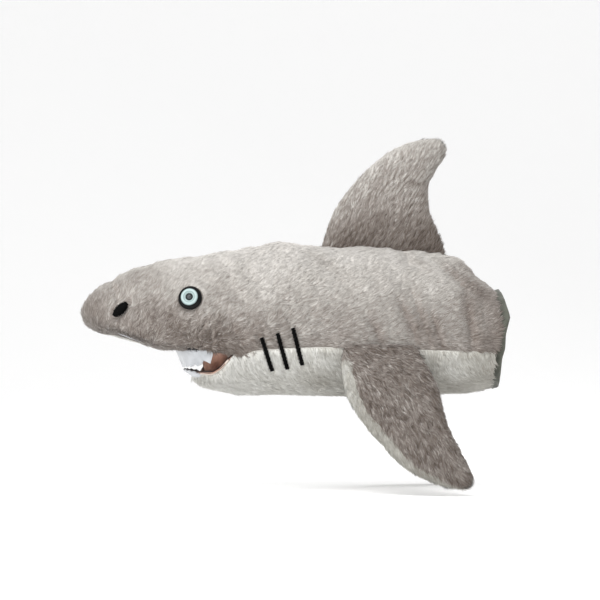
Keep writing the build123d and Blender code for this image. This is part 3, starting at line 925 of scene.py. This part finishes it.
def back_tones(point, normal, owner, rng):
    """Shades on the back: paler above and darker down the flank as painted light and shade, with a painted
    shadow line just above the side seam; brown on the cheek and snout, darker towards the hem, and painted
    shade in the folds and pleats."""
    x, z = point[:, 0], point[:, 2]
    # Painted light and shade: paler towards the top, where the lamp above falls, darker down the flank, and a
    # painted shadow line just above the seam.
    value = np.interp(z, [-0.010, -0.004, 0.006, 0.022, 0.045, 0.060], [146, 160, 165, 169, 186, 201])
    value -= 42 * spot_of(x, z, (-0.252, 0.000), (0.048, 0.021))
    value -= 31 * spot_of(x, z, (-0.204, -0.003), (0.026, 0.012))
    value -= 22 * spot_of(x, z, (-0.310, 0.018), (0.016, 0.020))
    value -= 27 * spot_of(x, z, (-0.274, 0.042), (0.020, 0.012))
    value -= 30 * np.clip((x + 0.056) / 0.040, 0, 1)
    value += 11 * spot_of(x, z, (-0.150, 0.055), (0.045, 0.018))
    # Painted shade: the pile is darker along the folds, and darker still in the pleats of the upper lip.
    folds = np.zeros(len(x))
    for ends, width, amount in FOLDS:
        folds = np.maximum(folds, crease(x, z, ends, width * 0.8) * min(amount / 0.0025, 1.0))
    value -= 38 * folds
    gap = np.min([line_gap(x, z, ends) for ends in PLEATS], axis=0)
    value -= 50 * np.exp(-((gap / 0.0009) ** 2))
    rough = 1 + 1.0 * spot_of(x, z, (-0.240, 0.000), (0.050, 0.020))
    value += 5 * waves(point, 0.030, 71) + 9 * rough * streaks(point, (0.88, 0, 0.47), 0.0012, 72)
    return nearest_shade(value + rough * rng.normal(0, 11, len(point)), GREY_MARKS)


# Bare room round the eyes' middles, the gill lines, the nostril and the pleats.
EYE_ROOM = 0.0090
GILL_ROOM = 0.0015
NOSTRIL_ROOM = 0.0033
PLEAT_ROOM = 0.0006


def back_keep(point, tip, normal, rng):
    """Leave room for the eyes and for the stitched lines."""
    stay = np.ones(len(point), bool)
    for seat, axis in eyes.values():
        for spot in (point, tip):
            off = spot - seat
            off = off - (off @ axis)[:, None] * axis
            near = np.abs(spot[:, 0] - seat[0]) < 0.02
            same = spot[:, 1] * seat[1] > 0
            stay &= ~(near & same & (np.linalg.norm(off, axis=1) < EYE_ROOM))
    stray = rng.random(len(point)) < 0.09
    flank = np.abs(normal[:, 1]) > 0.3
    for ends in GILL_LINES:
        for spot in (point, tip):
            stay &= ~((line_gap(spot[:, 0], spot[:, 2], ends) < GILL_ROOM) & flank & ~stray)
    for spot in (point, tip):
        stay &= ~((line_gap(spot[:, 0], spot[:, 2], NOSTRIL_LINE) < NOSTRIL_ROOM) & flank)
    for ends in PLEATS:
        thinned = rng.random(len(point)) < 0.6
        stay &= ~((line_gap(point[:, 0], point[:, 2], ends) < PLEAT_ROOM) & thinned)
    return stay


for side, label in ((-1, "left"), (1, "right")):
    for part, stations in (("front", (-0.33, -0.172)), ("rear", (-0.172, 0.01))):
        pile = comb_pile(f"pile_back_{label}_{part}", back_panels[label], 49500, back_lie, back_tones,
                         GREY_SHADES, 100 + side, keep=back_keep, stations=stations)
        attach(pile, "body")


def white_lie(point, normal):
    """Pile on the white cloth: down the flank and a little back."""
    down = np.stack([np.full(len(point), 0.30), np.zeros(len(point)), np.full(len(point), -1.0)], axis=1)
    under = np.clip(-normal[:, 2], 0, 1)[:, None] ** 2
    return down * (1 - under) + np.array([1.0, 0.0, 0.0]) * under, np.ones(len(point))


def white_tones(point, normal, owner, rng):
    """Shades of white, paler on the jaw and greyer towards the hem; paler above and darker low down as
    painted light and shade, with painted shade in the dent.
    """
    value = np.interp(point[:, 0], [-0.24, -0.20, -0.15, -0.11, -0.06, -0.01], [196, 205, 189, 178, 178, 169])
    # Painted light and shade: paler towards the top and darker low down; painted shade in the dent behind the
    # gills.
    value += 7 * np.clip((point[:, 2] + 0.024) / 0.012, -1, 1)
    value -= 14 * crease(point[:, 0], point[:, 2], DENT, 0.0030)
    value += 5 * waves(point, 0.030, 81) + 7 * streaks(point, (0.25, 0, 1.0), 0.0018, 82)
    return nearest_shade(value + rng.normal(0, 8, len(point)), WHITE_MARKS)


pile = comb_pile("pile_belly", belly, 49000, white_lie, white_tones, WHITE_SHADES, 200, length=0.0050,
                 width=0.00080, keep=back_keep)
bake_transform(pile)


def snout_lie(point, normal):
    """Pile under the snout: straight back."""
    return np.tile([1.0, 0.0, 0.0], (len(point), 1)), np.ones(len(point))


pile = comb_pile("pile_snout_underside", snout_under, 14000, snout_lie, white_tones, WHITE_SHADES, 210,
                 length=0.0036, width=0.00080, stations=(-0.33, -0.2480))
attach(pile, "body")


def fin_lie(point, normal):
    """Pile on a side fin: fans from the root, steeply down and back."""
    slope = np.interp(point[:, 2], [-0.11, -0.07, -0.03, -0.005], [1.00, 1.10, 0.85, 0.55])
    slope = slope - 3.6 * (point[:, 0] + 0.075 + 0.55 * (point[:, 2] + 0.05))
    return np.stack([np.cos(slope), np.zeros(len(point)), -np.sin(slope)], axis=1), np.full(len(point), 1.3)


def fin_tones(point, normal, owner, rng):
    """Grey shades on the grey side, darker than the back's as painted shade, and white ones on the white."""
    # Painted shade: the grey side takes darker shades than the same plush on the back, since the fin faces
    # down, away from the lamp above.
    value = 121 + 4 * waves(point, 0.025, 91) + 15 * streaks(point, (0.35, 0, -1.0), 0.0016, 92)
    grey = nearest_shade(value + rng.normal(0, 18, len(point)), GREY_MARKS)
    return np.where(owner == 1, len(GREY_MARKS) + white_tones(point, normal, owner, rng), grey)


for side, label in ((-1, "left"), (1, "right")):
    pile = comb_pile(f"pile_fin_{label}", fins[label], 34000, fin_lie, fin_tones,
                     GREY_SHADES + WHITE_SHADES, 300 + side)
    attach(pile, f"{label}_fin")


def dorsal_lie(point, normal):
    """Pile on the back fin: steeply up and back."""
    return np.tile([0.50, 0.0, 0.87], (len(point), 1)), np.ones(len(point))


def dorsal_tones(point, normal, owner, rng):
    """Shades on the back fin: darker at its foot and paler to the tip, as painted shade and light, paler
    along the front edge, and painted shade in a crease.
    """
    x, z = point[:, 0], point[:, 2]
    # Painted shade and light: darkest at the foot, in the shade of the back, and paler up to the tip.
    value = np.interp(z, [0.066, 0.080, 0.096, 0.125, 0.148], [106, 116, 146, 160, 178])
    value += 24 * np.exp(-np.abs(x - np.interp(z, DORSAL_FRONT[:, 1], DORSAL_FRONT[:, 0])) / 0.009)
    # Painted shade in a crease across the fin.
    value -= 28 * crease(x, z, ((-0.076, 0.1150), (-0.060, 0.1115)), 0.0016)
    value += 5 * waves(point, 0.020, 94) + 13 * streaks(point, (0.5, 0, 0.87), 0.0016, 95)
    return nearest_shade(value + rng.normal(0, 12, len(point)), GREY_MARKS)


pile = comb_pile("pile_dorsal", dorsal, 32000, dorsal_lie, dorsal_tones, GREY_SHADES, 400)
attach(pile, "dorsal_fin")

# ---------------------------------------------------------------------------
# Mouth. Smooth brown-pink cloth lines it above and below, a soft fold that hangs and
# swells until the two nearly meet; a pale cord of the same cloth edges the lower lip.
# ---------------------------------------------------------------------------


def smooth_weave():
    """Node group for smooth cloth: a cloudy mix of a dark and a light shade, and a
    fine noise as the height of the threads."""
    group = bpy.data.node_groups.new("SmoothWeave", "ShaderNodeTree")
    inside, outside = group_ends(
        group,
        {"Dark": "NodeSocketColor", "Light": "NodeSocketColor", "Scale": "NodeSocketFloat"},
        {"Colour": "NodeSocketColor", "Normal": "NodeSocketVector"},
    )
    nodes, links = group.nodes, group.links
    place = nodes.new("ShaderNodeTexCoord")
    cloud = nodes.new("ShaderNodeTexNoise")
    cloud.inputs["Scale"].default_value = 120.0
    cloud.inputs["Detail"].default_value = 5.0
    links.new(place.outputs["Object"], cloud.inputs["Vector"])
    spread = nodes.new("ShaderNodeMapRange")
    spread.inputs["From Min"].default_value = 0.3
    spread.inputs["From Max"].default_value = 0.7
    links.new(cloud.outputs["Fac"], spread.inputs["Value"])
    mix = nodes.new("ShaderNodeMix")
    mix.data_type = "RGBA"
    links.new(spread.outputs["Result"], mix.inputs[0])
    links.new(inside.outputs["Dark"], mix.inputs[6])
    links.new(inside.outputs["Light"], mix.inputs[7])
    threads = nodes.new("ShaderNodeTexNoise")
    threads.inputs["Detail"].default_value = 2.0
    links.new(place.outputs["Object"], threads.inputs["Vector"])
    links.new(inside.outputs["Scale"], threads.inputs["Scale"])
    bump = nodes.new("ShaderNodeBump")
    bump.inputs["Strength"].default_value = 0.5
    bump.inputs["Distance"].default_value = 0.0004
    links.new(threads.outputs["Fac"], bump.inputs["Height"])
    links.new(mix.outputs[2], outside.inputs["Colour"])
    links.new(bump.outputs["Normal"], outside.inputs["Normal"])
    return group


SMOOTH_WEAVE = smooth_weave()


def flat_cloth(name, dark, light, scale):
    """Smooth cloth between two shades; scale is how fine its threads are."""
    material = bpy.data.materials.new(name)
    material.use_nodes = True
    nodes, links = material.node_tree.nodes, material.node_tree.links
    face = nodes["Principled BSDF"]
    face.inputs["Roughness"].default_value = 0.85
    face.inputs["Specular IOR Level"].default_value = 0.2
    face.inputs["Sheen Weight"].default_value = 0.3
    weave = nodes.new("ShaderNodeGroup")
    weave.node_tree = SMOOTH_WEAVE
    weave.inputs["Dark"].default_value = dark
    weave.inputs["Light"].default_value = light
    weave.inputs["Scale"].default_value = scale
    links.new(weave.outputs["Colour"], face.inputs["Base Color"])
    links.new(weave.outputs["Normal"], face.inputs["Normal"])
    return material


mouth_brown = flat_cloth("mouth cloth", shade(112, 78, 64), shade(172, 134, 116), 1500.0)


def mouth_half(x, front, widest):
    """Half width of the mouth at station x: a quarter oval, widest at the corners."""
    t = np.clip((x - MOUTH_REAR) / (front - MOUTH_REAR), 0, 1)
    return widest * np.sqrt(np.clip(1 - t**2.4, 0, 1))


def mouth_sheet(name, front, widest, height):
    """Sheet over the mouth's plan shape; height gives z from the station and the
    share of the half width."""
    x = MOUTH_REAR + (front - MOUTH_REAR) * np.sin(np.linspace(0, np.pi / 2, 40))[:, None]
    share = np.linspace(-1, 1, 61)[None, :]
    y = mouth_half(x, front, widest) * share
    z = height(x + 0 * share, share + 0 * x)
    points = np.stack([x + 0 * share, y, z], axis=-1)
    return new_mesh(name, points, grid_faces(40, 61))


def lip_height(x):
    """Height of the lower lip's edge, on which the mouth's floor is sewn."""
    return np.interp(x, [-0.2350, -0.2305, -0.2250, -0.2180, -0.2120, -0.2065, -0.2035],
                     [-0.0262, -0.0260, -0.0256, -0.0255, -0.0218, -0.0158, -0.0128])


PALATE = -0.0100
FOLD_GAP = 0.0012
FLOOR_SWELL = 0.0070


def palate_height(x, share):
    """Roof of the mouth: on either side of the middle a soft fold of it hangs down
    almost to the floor."""
    sides = np.exp(-(((np.abs(share) - 0.66) / 0.20) ** 2))
    drop = np.clip(PALATE - lip_height(x) - FOLD_GAP, 0, 1) * np.clip((x + 0.2280) / 0.003, 0, 1)
    return PALATE - drop * sides


def floor_height(x, share):
    """Floor of the mouth: drops from the corner to the lip and swells in the middle."""
    back = np.clip((x - MOUTH_REAR) / -0.031, 0, 1)
    middle = np.exp(-((share / 0.26) ** 2))
    rise = np.sin(np.pi * np.clip(back * 0.85 + 0.1, 0, 1)) ** 0.6 * np.clip(back * 4, 0, 1)
    return lip_height(x) + FLOOR_SWELL * middle * rise * np.clip((x + 0.2290) / 0.004, 0, 1)


for name, node, body, front, widest, height, flat, area, under in (
    ("mouth_palate_cloth", "mouth_palate", "body", -0.2425, 0.0405, palate_height,
     (0.082, 0.045), 0.0031, "snout_underside_plush"),
    ("mouth_floor_cloth", "mouth_floor", "lower_jaw", -0.2345, 0.0400, floor_height,
     (0.080, 0.038), 0.0024, "belly_plush"),
):
    cloth = mouth_sheet(name, front, widest, height)
    cloth_wall(cloth, 0.0006)
    cloth.data.materials.append(mouth_brown)
    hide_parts(node)
    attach(cloth, body)


def carried_tube(name, path, radius, around=10):
    """Round cord along a path: a circle is carried along it, square to its run."""
    run = np.gradient(path, axis=0)
    run /= np.linalg.norm(run, axis=1)[:, None]
    level = np.cross(run, [0.0, 0.0, 1.0])
    level /= np.linalg.norm(level, axis=1)[:, None]
    steep = np.cross(level, run)
    angle = np.linspace(0, 2 * np.pi, around, endpoint=False)[None, :, None]
    circle = np.cos(angle) * level[:, None, :] + np.sin(angle) * steep[:, None, :]
    return closed_tube(name, path[:, None, :] + radius * circle)


lip_pink = flat_cloth("lip edge cloth", shade(190, 176, 165), shade(214, 202, 192), 1500.0)
turn = np.linspace(np.radians(3), np.radians(177), 161)
x = MOUTH_REAR + (CHIN - MOUTH_REAR) * np.sin(turn) ** 0.8
half, edge, _ = form_at(x, WHITE_FORM)
half = np.maximum(half - 0.0012, 0.0)
lip_path = np.stack([x + 0.0010 * np.sin(turn) ** 8, np.sign(np.cos(turn)) * half, edge + 0.0004], axis=1)
lip = carried_tube("lip_edge", lip_path, 0.00075)
lip.data.materials.append(lip_pink)
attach(lip, "lower_jaw")

# ---------------------------------------------------------------------------
# Teeth. One strip of white felt follows the upper lip and one the lower; their free
# edges are cut in points.
# ---------------------------------------------------------------------------


def felt_strip(name, rear, front, widest, top, edge, thick, flare):
    """Strip of felt round the mouth, half an oval in plan. top is the height of its
    sewn edge, and edge gives that of its free one from the share of the way round, 0
    at the middle of the front and 1 at the rear; it leans out by flare at the free edge."""
    s = np.linspace(0, np.pi, 421)
    way_round = np.abs(s - np.pi / 2) / (np.pi / 2)
    share = np.linspace(0, 1, 11)[None, :]
    x = rear + (front - rear) * np.sin(s) ** 0.85
    y = widest * np.sign(np.cos(s)) * np.abs(np.cos(s)) ** 0.85
    height = top * (1 - share) + edge(way_round)[:, None] * share
    lean = flare * share
    x = x[:, None] + lean * np.sin(s)[:, None]
    points = np.stack([x, y[:, None] * (1 - 2.0 * lean), height], axis=-1)
    strip = new_mesh(name, points, grid_faces(*points.shape[:2]))
    face_away(strip, 0.0)
    cloth_wall(strip, thick)
    return strip


def upper_edge(share):
    """Free edge of the upper felt: small points round the front, a short broad tooth
    behind them, then a step up and one hooked tooth at each rear end."""
    points = np.array([
        (0.00, -0.0218), (0.06, -0.0203), (0.12, -0.0217), (0.18, -0.0201), (0.24, -0.0215),
        (0.31, -0.0202), (0.38, -0.0216), (0.46, -0.0203), (0.53, -0.0212), (0.575, -0.0207),
        (0.64, -0.0190), (0.70, -0.0206), (0.79, -0.0190), (0.82, -0.0161), (0.87, -0.0168),
        (0.936, -0.0184), (0.985, -0.0092), (1.00, -0.0090),
    ])
    return np.interp(share, points[:, 0], points[:, 1])


def lower_edge(share):
    """Free edge of the lower felt: an uneven row of small points, lower at the ends."""
    points = np.array([
        (0.00, -0.0240), (0.10, -0.0233), (0.20, -0.0243), (0.28, -0.0236), (0.36, -0.0246),
        (0.44, -0.0239), (0.52, -0.0250), (0.60, -0.0245), (0.68, -0.0260), (0.76, -0.0255),
        (0.84, -0.0266), (0.92, -0.0268), (1.00, -0.0274),
    ])
    return np.interp(share, points[:, 0], points[:, 1])


felt = flat_cloth("white felt", shade(168, 170, 173), shade(188, 190, 193), 2200.0)
felt_face = felt.node_tree.nodes["Principled BSDF"]
felt_face.inputs["Subsurface Weight"].default_value = 0.6
felt_face.inputs["Subsurface Radius"].default_value = (1.0, 1.0, 1.0)
felt_face.inputs["Subsurface Scale"].default_value = 0.0020
FELT_THICK = 0.0012
upper = felt_strip(
    "upper_teeth_felt", -0.2160, -0.2475, 0.0398, -0.0085, upper_edge, FELT_THICK, flare=0.0055
)
lower = felt_strip(
    "lower_teeth_felt", -0.2200, -0.2345, 0.0255, -0.0290, lower_edge, FELT_THICK, flare=-0.0070
)
for strip, node, body, flat, under in (
    (upper, "upper_teeth", "body", (0.107, 0.0145), "mouth_palate_cloth"),
    (lower, "lower_teeth", "lower_jaw", (0.052, 0.0100), "mouth_floor_cloth"),
):
    strip.data.materials.append(felt)
    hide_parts(node)
    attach(strip, body)

# ---------------------------------------------------------------------------
# Black embroidery. Satin stitches lie side by side across each gill line and each
# nostril; every stitch is a short thread that dips into the plush at both ends.
# ---------------------------------------------------------------------------


def flank_depth(x, z):
    """How far the body's side stands out at a station and height, from the oval
    above and below its widest line."""
    half, top, wide, low = form_at(x, BACK_FORM)
    share = np.where(z >= wide, (z - wide) / (top - wide), (wide - z) / (wide - low))
    return half * np.sqrt(np.clip(1 - share**2, 0, 1)) ** 0.92


def stitch_rings(ends, half_width, side, pitch, thread):
    """Rings of the stitches of one line, a stitch every pitch: each runs across the
    line by the half width there, and its height is half an oval, so that its ends
    sit in the cloth."""
    (x0, z0), (x1, z1) = ends
    length = math.hypot(x1 - x0, z1 - z0)
    steps = int(length / pitch)
    number = np.arange(steps)
    t = (number + 0.5) / steps
    wobble = 0.00030 * np.sin(number * 2.4) + 0.00022 * np.sin(number * 5.1)
    share = np.linspace(-1, 1, 7)
    spread = half_width(t)[:, None] * share[None, :] + wobble[:, None]
    x = x0 + (x1 - x0) * t[:, None] - (z1 - z0) / length * spread
    z = z0 + (z1 - z0) * t[:, None] + (x1 - x0) / length * spread
    lift = 0.0003 + 0.0011 * np.sqrt(np.clip(1 - share**2, 0, 1))[None, :]
    path = np.stack([x, side * (flank_depth(x, z) + lift), z], axis=-1)
    along_line = np.array([(x1 - x0) / length, 0.0, (z1 - z0) / length])
    angle = np.linspace(0, 2 * np.pi, 5, endpoint=False)[:, None]
    circle = thread * (np.cos(angle) * along_line + np.sin(angle) * np.array([0.0, side, 0.0]))
    return path[:, :, None, :] + circle


def satin_rows(name, lines, half_width, side, pitch, thread=0.00034):
    """Object from the stitches of one or more lines, each stitch a closed thread."""
    rings = np.concatenate([stitch_rings(ends, half_width, side, pitch, thread) for ends in lines])
    total, rows, around = rings.shape[:3]
    starts = np.arange(total)[:, None, None] * rows * around
    sides = (starts + np.array(ring_faces(rows, around))).reshape(-1, 4)
    cap = np.arange(around)
    caps = (starts + np.array([cap[::-1], cap + (rows - 1) * around])).reshape(-1, around)
    return new_mesh(name, rings, sides.tolist() + caps.tolist(), weld=0, turn_out=True)


def gill_half(t):
    """Half width of a gill line: the same from end to end."""
    return np.full(len(t), 0.00150)


def nostril_half(t):
    """Half width of the nostril: a full oval, rounded at both ends."""
    return 0.0036 * np.sin(np.pi * np.clip(t * 0.94 + 0.03, 0, 1)) ** 0.48


black_thread = flat_cloth("black thread", shade(2, 2, 2), shade(9, 9, 9), 2500.0)
thread_face = black_thread.node_tree.nodes["Principled BSDF"]
thread_face.inputs["Roughness"].default_value = 0.6
thread_face.inputs["Sheen Weight"].default_value = 0.0
thread_face.inputs["Specular IOR Level"].default_value = 0.05
for side, label in ((-1, "left"), (1, "right")):
    gills = satin_rows(f"gill_stitches_{label}_thread", GILL_LINES, gill_half, side, pitch=0.00052)
    nostril = satin_rows(f"nostril_{label}_thread", [NOSTRIL_LINE], nostril_half, side, pitch=0.00048)
    for piece, node in ((gills, "gill_stitches"), (nostril, "nostril")):
        piece.data.materials.append(black_thread)
        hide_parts(f"{node}_{label}")
        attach(piece, "body")

# ---------------------------------------------------------------------------
# Lining. Smooth grey-green cloth lines the sleeve for the hand; a strip of it stands
# out past the plush hem at the rear, and inside it narrows to a pocket for the fingers.
# ---------------------------------------------------------------------------
# Station, half width, half height, height of the middle, from the rear edge forward.
SLEEVE = np.array([
    (0.0000, 0.0378, 0.0374, -0.0006),
    (-0.0100, 0.0351, 0.0349, -0.0002),
    (-0.0220, 0.0340, 0.0338, 0.0000),
    (-0.0600, 0.0342, 0.0332, 0.0020),
    (-0.1200, 0.0362, 0.0332, 0.0080),
    (-0.1800, 0.0352, 0.0282, 0.0130),
    (-0.2250, 0.0252, 0.0182, 0.0150),
    (-0.2620, 0.0190, 0.0140, 0.0180),
    (-0.2740, 0.0110, 0.0085, 0.0180),
    (-0.2760, 0.0000, 0.0000, 0.0180),
])


def sleeve_points(rows, around):
    """The sleeve as a tube of ovals; the rear rim runs unevenly, further out at the
    sides than at the top, and the cloth has soft lengthwise gathers."""
    t = np.linspace(0, 1, rows)
    x = SLEEVE[-1, 0] * t**1.2
    angle = np.linspace(0, 2 * np.pi, around, endpoint=False)[None, :]
    order = SLEEVE[::-1]
    half, tall, mid = (smooth_between(x, order[:, 0], order[:, k])[:, None] for k in (1, 2, 3))
    half, tall = np.maximum(half, 0), np.maximum(tall, 0)
    gather = 1 + 0.012 * np.sin(angle * 9 + 1.0) * np.clip(t, 0, 0.2)[:, None] * 5
    gather = gather + 0.006 * np.sin(angle * 23)
    y, z = half * np.cos(angle) * gather, mid + tall * np.sin(angle) * gather
    rim = np.interp(np.sin(angle), [-1, -0.95, -0.7, -0.4, -0.17, 0.1, 0.45, 0.86, 1],
                    [-0.0095, -0.0062, -0.0058, -0.0052, -0.0030, -0.0026, 0.0010, -0.0030, -0.0055])
    near = np.clip(1 + x / 0.020, 0, 1)[:, None]
    return np.stack([x[:, None] + rim * near + 0 * angle, y, z], axis=-1)


rows, around = 90, 96
lining = new_mesh("hand_lining_cloth", sleeve_points(rows, around), ring_faces(rows, around))
face_away(lining, 0.008)
cloth_wall(lining, 0.0007)
lining_green = flat_cloth("lining cloth", shade(66, 67, 60), shade(98, 100, 91), 1800.0)
lining.data.materials.append(lining_green)
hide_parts("hand_lining")
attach(lining, "body")

# The pocket for the thumb: a flattened sleeve of the same cloth inside the jaw.
POCKET_REAR = -0.1930
POCKET_DEEP = 0.0350
POCKET_HEIGHT = -0.0330
rows, around = 40, 48
t = np.linspace(0, 1, rows)[:, None]
angle = np.linspace(0, 2 * np.pi, around, endpoint=False)[None, :]
x = POCKET_REAR - POCKET_DEEP * t + 0 * angle
full = np.sqrt(np.clip(1 - t**5, 0, 1))
y = (0.0150 - 0.0045 * t) * full * np.cos(angle)
z = POCKET_HEIGHT + 0.0048 * full * np.sin(angle)
pocket = new_mesh("thumb_lining_cloth", np.stack([x, y, z], axis=-1), ring_faces(rows, around))
face_away(pocket, POCKET_HEIGHT)
cloth_wall(pocket, 0.0006)
pocket.data.materials.append(lining_green)
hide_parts("thumb_lining")
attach(pocket, "lower_jaw")
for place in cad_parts["snout_stuffing"].material_slots:
    place.material = felt

# ---------------------------------------------------------------------------
# Studio. A pale floor just under the fin tips, which bends up behind, a lamp above the
# left flank, weaker ones by the nose and behind, and a pale sky; the camera sees the left flank.
# ---------------------------------------------------------------------------
FLOOR_GAP = 0.0035
FLOOR_SIDE = 6.0
BEND = 1.5
sweep = np.linspace(0, np.pi / 2, 40)
run = np.concatenate([[-5.0], BEND + BEND * np.sin(sweep), [2 * BEND]])
rise = np.concatenate([[0.0], BEND - BEND * np.cos(sweep), [5.0]]) + cad_low[2] - FLOOR_GAP
strips = [np.stack([np.full(len(run), x), run, rise], axis=-1) for x in (-FLOOR_SIDE, FLOOR_SIDE)]
points = np.stack(strips)
floor = new_mesh("floor", points, grid_faces(*points.shape[:2], flip=True), weld=0)
floor_white = bpy.data.materials.new("studio floor")
floor_white.use_nodes = True
floor_face = floor_white.node_tree.nodes["Principled BSDF"]
floor_face.inputs["Base Color"].default_value = (0.92, 0.92, 0.92, 1)
floor_face.inputs["Roughness"].default_value = 0.9
floor_face.inputs["Emission Color"].default_value = (1.0, 1.0, 1.0, 1)
floor_face.inputs["Emission Strength"].default_value = 0.12
floor.data.materials.append(floor_white)


MIDDLE = (-0.15, 0.0, 0.02)
LAMP_SIZE = 0.8


def lamp(name, spot, power):
    """Square lamp at a spot, turned towards the middle of the puppet."""
    light = bpy.data.lights.new(name, "AREA")
    light.size = LAMP_SIZE
    light.energy = power
    obj = placed(name, light)
    run = np.array(MIDDLE) - np.array(spot)
    run = run / np.linalg.norm(run)
    obj.location = spot
    obj.rotation_euler = (math.acos(-run[2]), 0.0, math.atan2(run[1], run[0]) - math.pi / 2)


lamp("key", (-0.35, -0.75, 1.05), 13.0)
lamp("front", (-1.2, -0.9, 0.35), 5.0)
lamp("rear", (0.7, 0.7, 0.9), 7.0)
world = bpy.data.worlds.new("sky")
bpy.context.scene.world = world
world.use_nodes = True
world.node_tree.nodes["Background"].inputs["Color"].default_value = (1.0, 1.0, 1.0, 1)
world.node_tree.nodes["Background"].inputs["Strength"].default_value = 0.75
bpy.context.scene.view_settings.view_transform = "Standard"

camera_data = bpy.data.cameras.new("camera")
camera_data.lens = 160.0
camera_data.sensor_width = 36.0
camera_data.clip_end = 50.0
camera = placed("camera", camera_data)
camera.location = (-0.154, -2.0, 0.0285)
camera.rotation_euler = (math.pi / 2, 0.0, 0.0)
bpy.context.scene.camera = camera
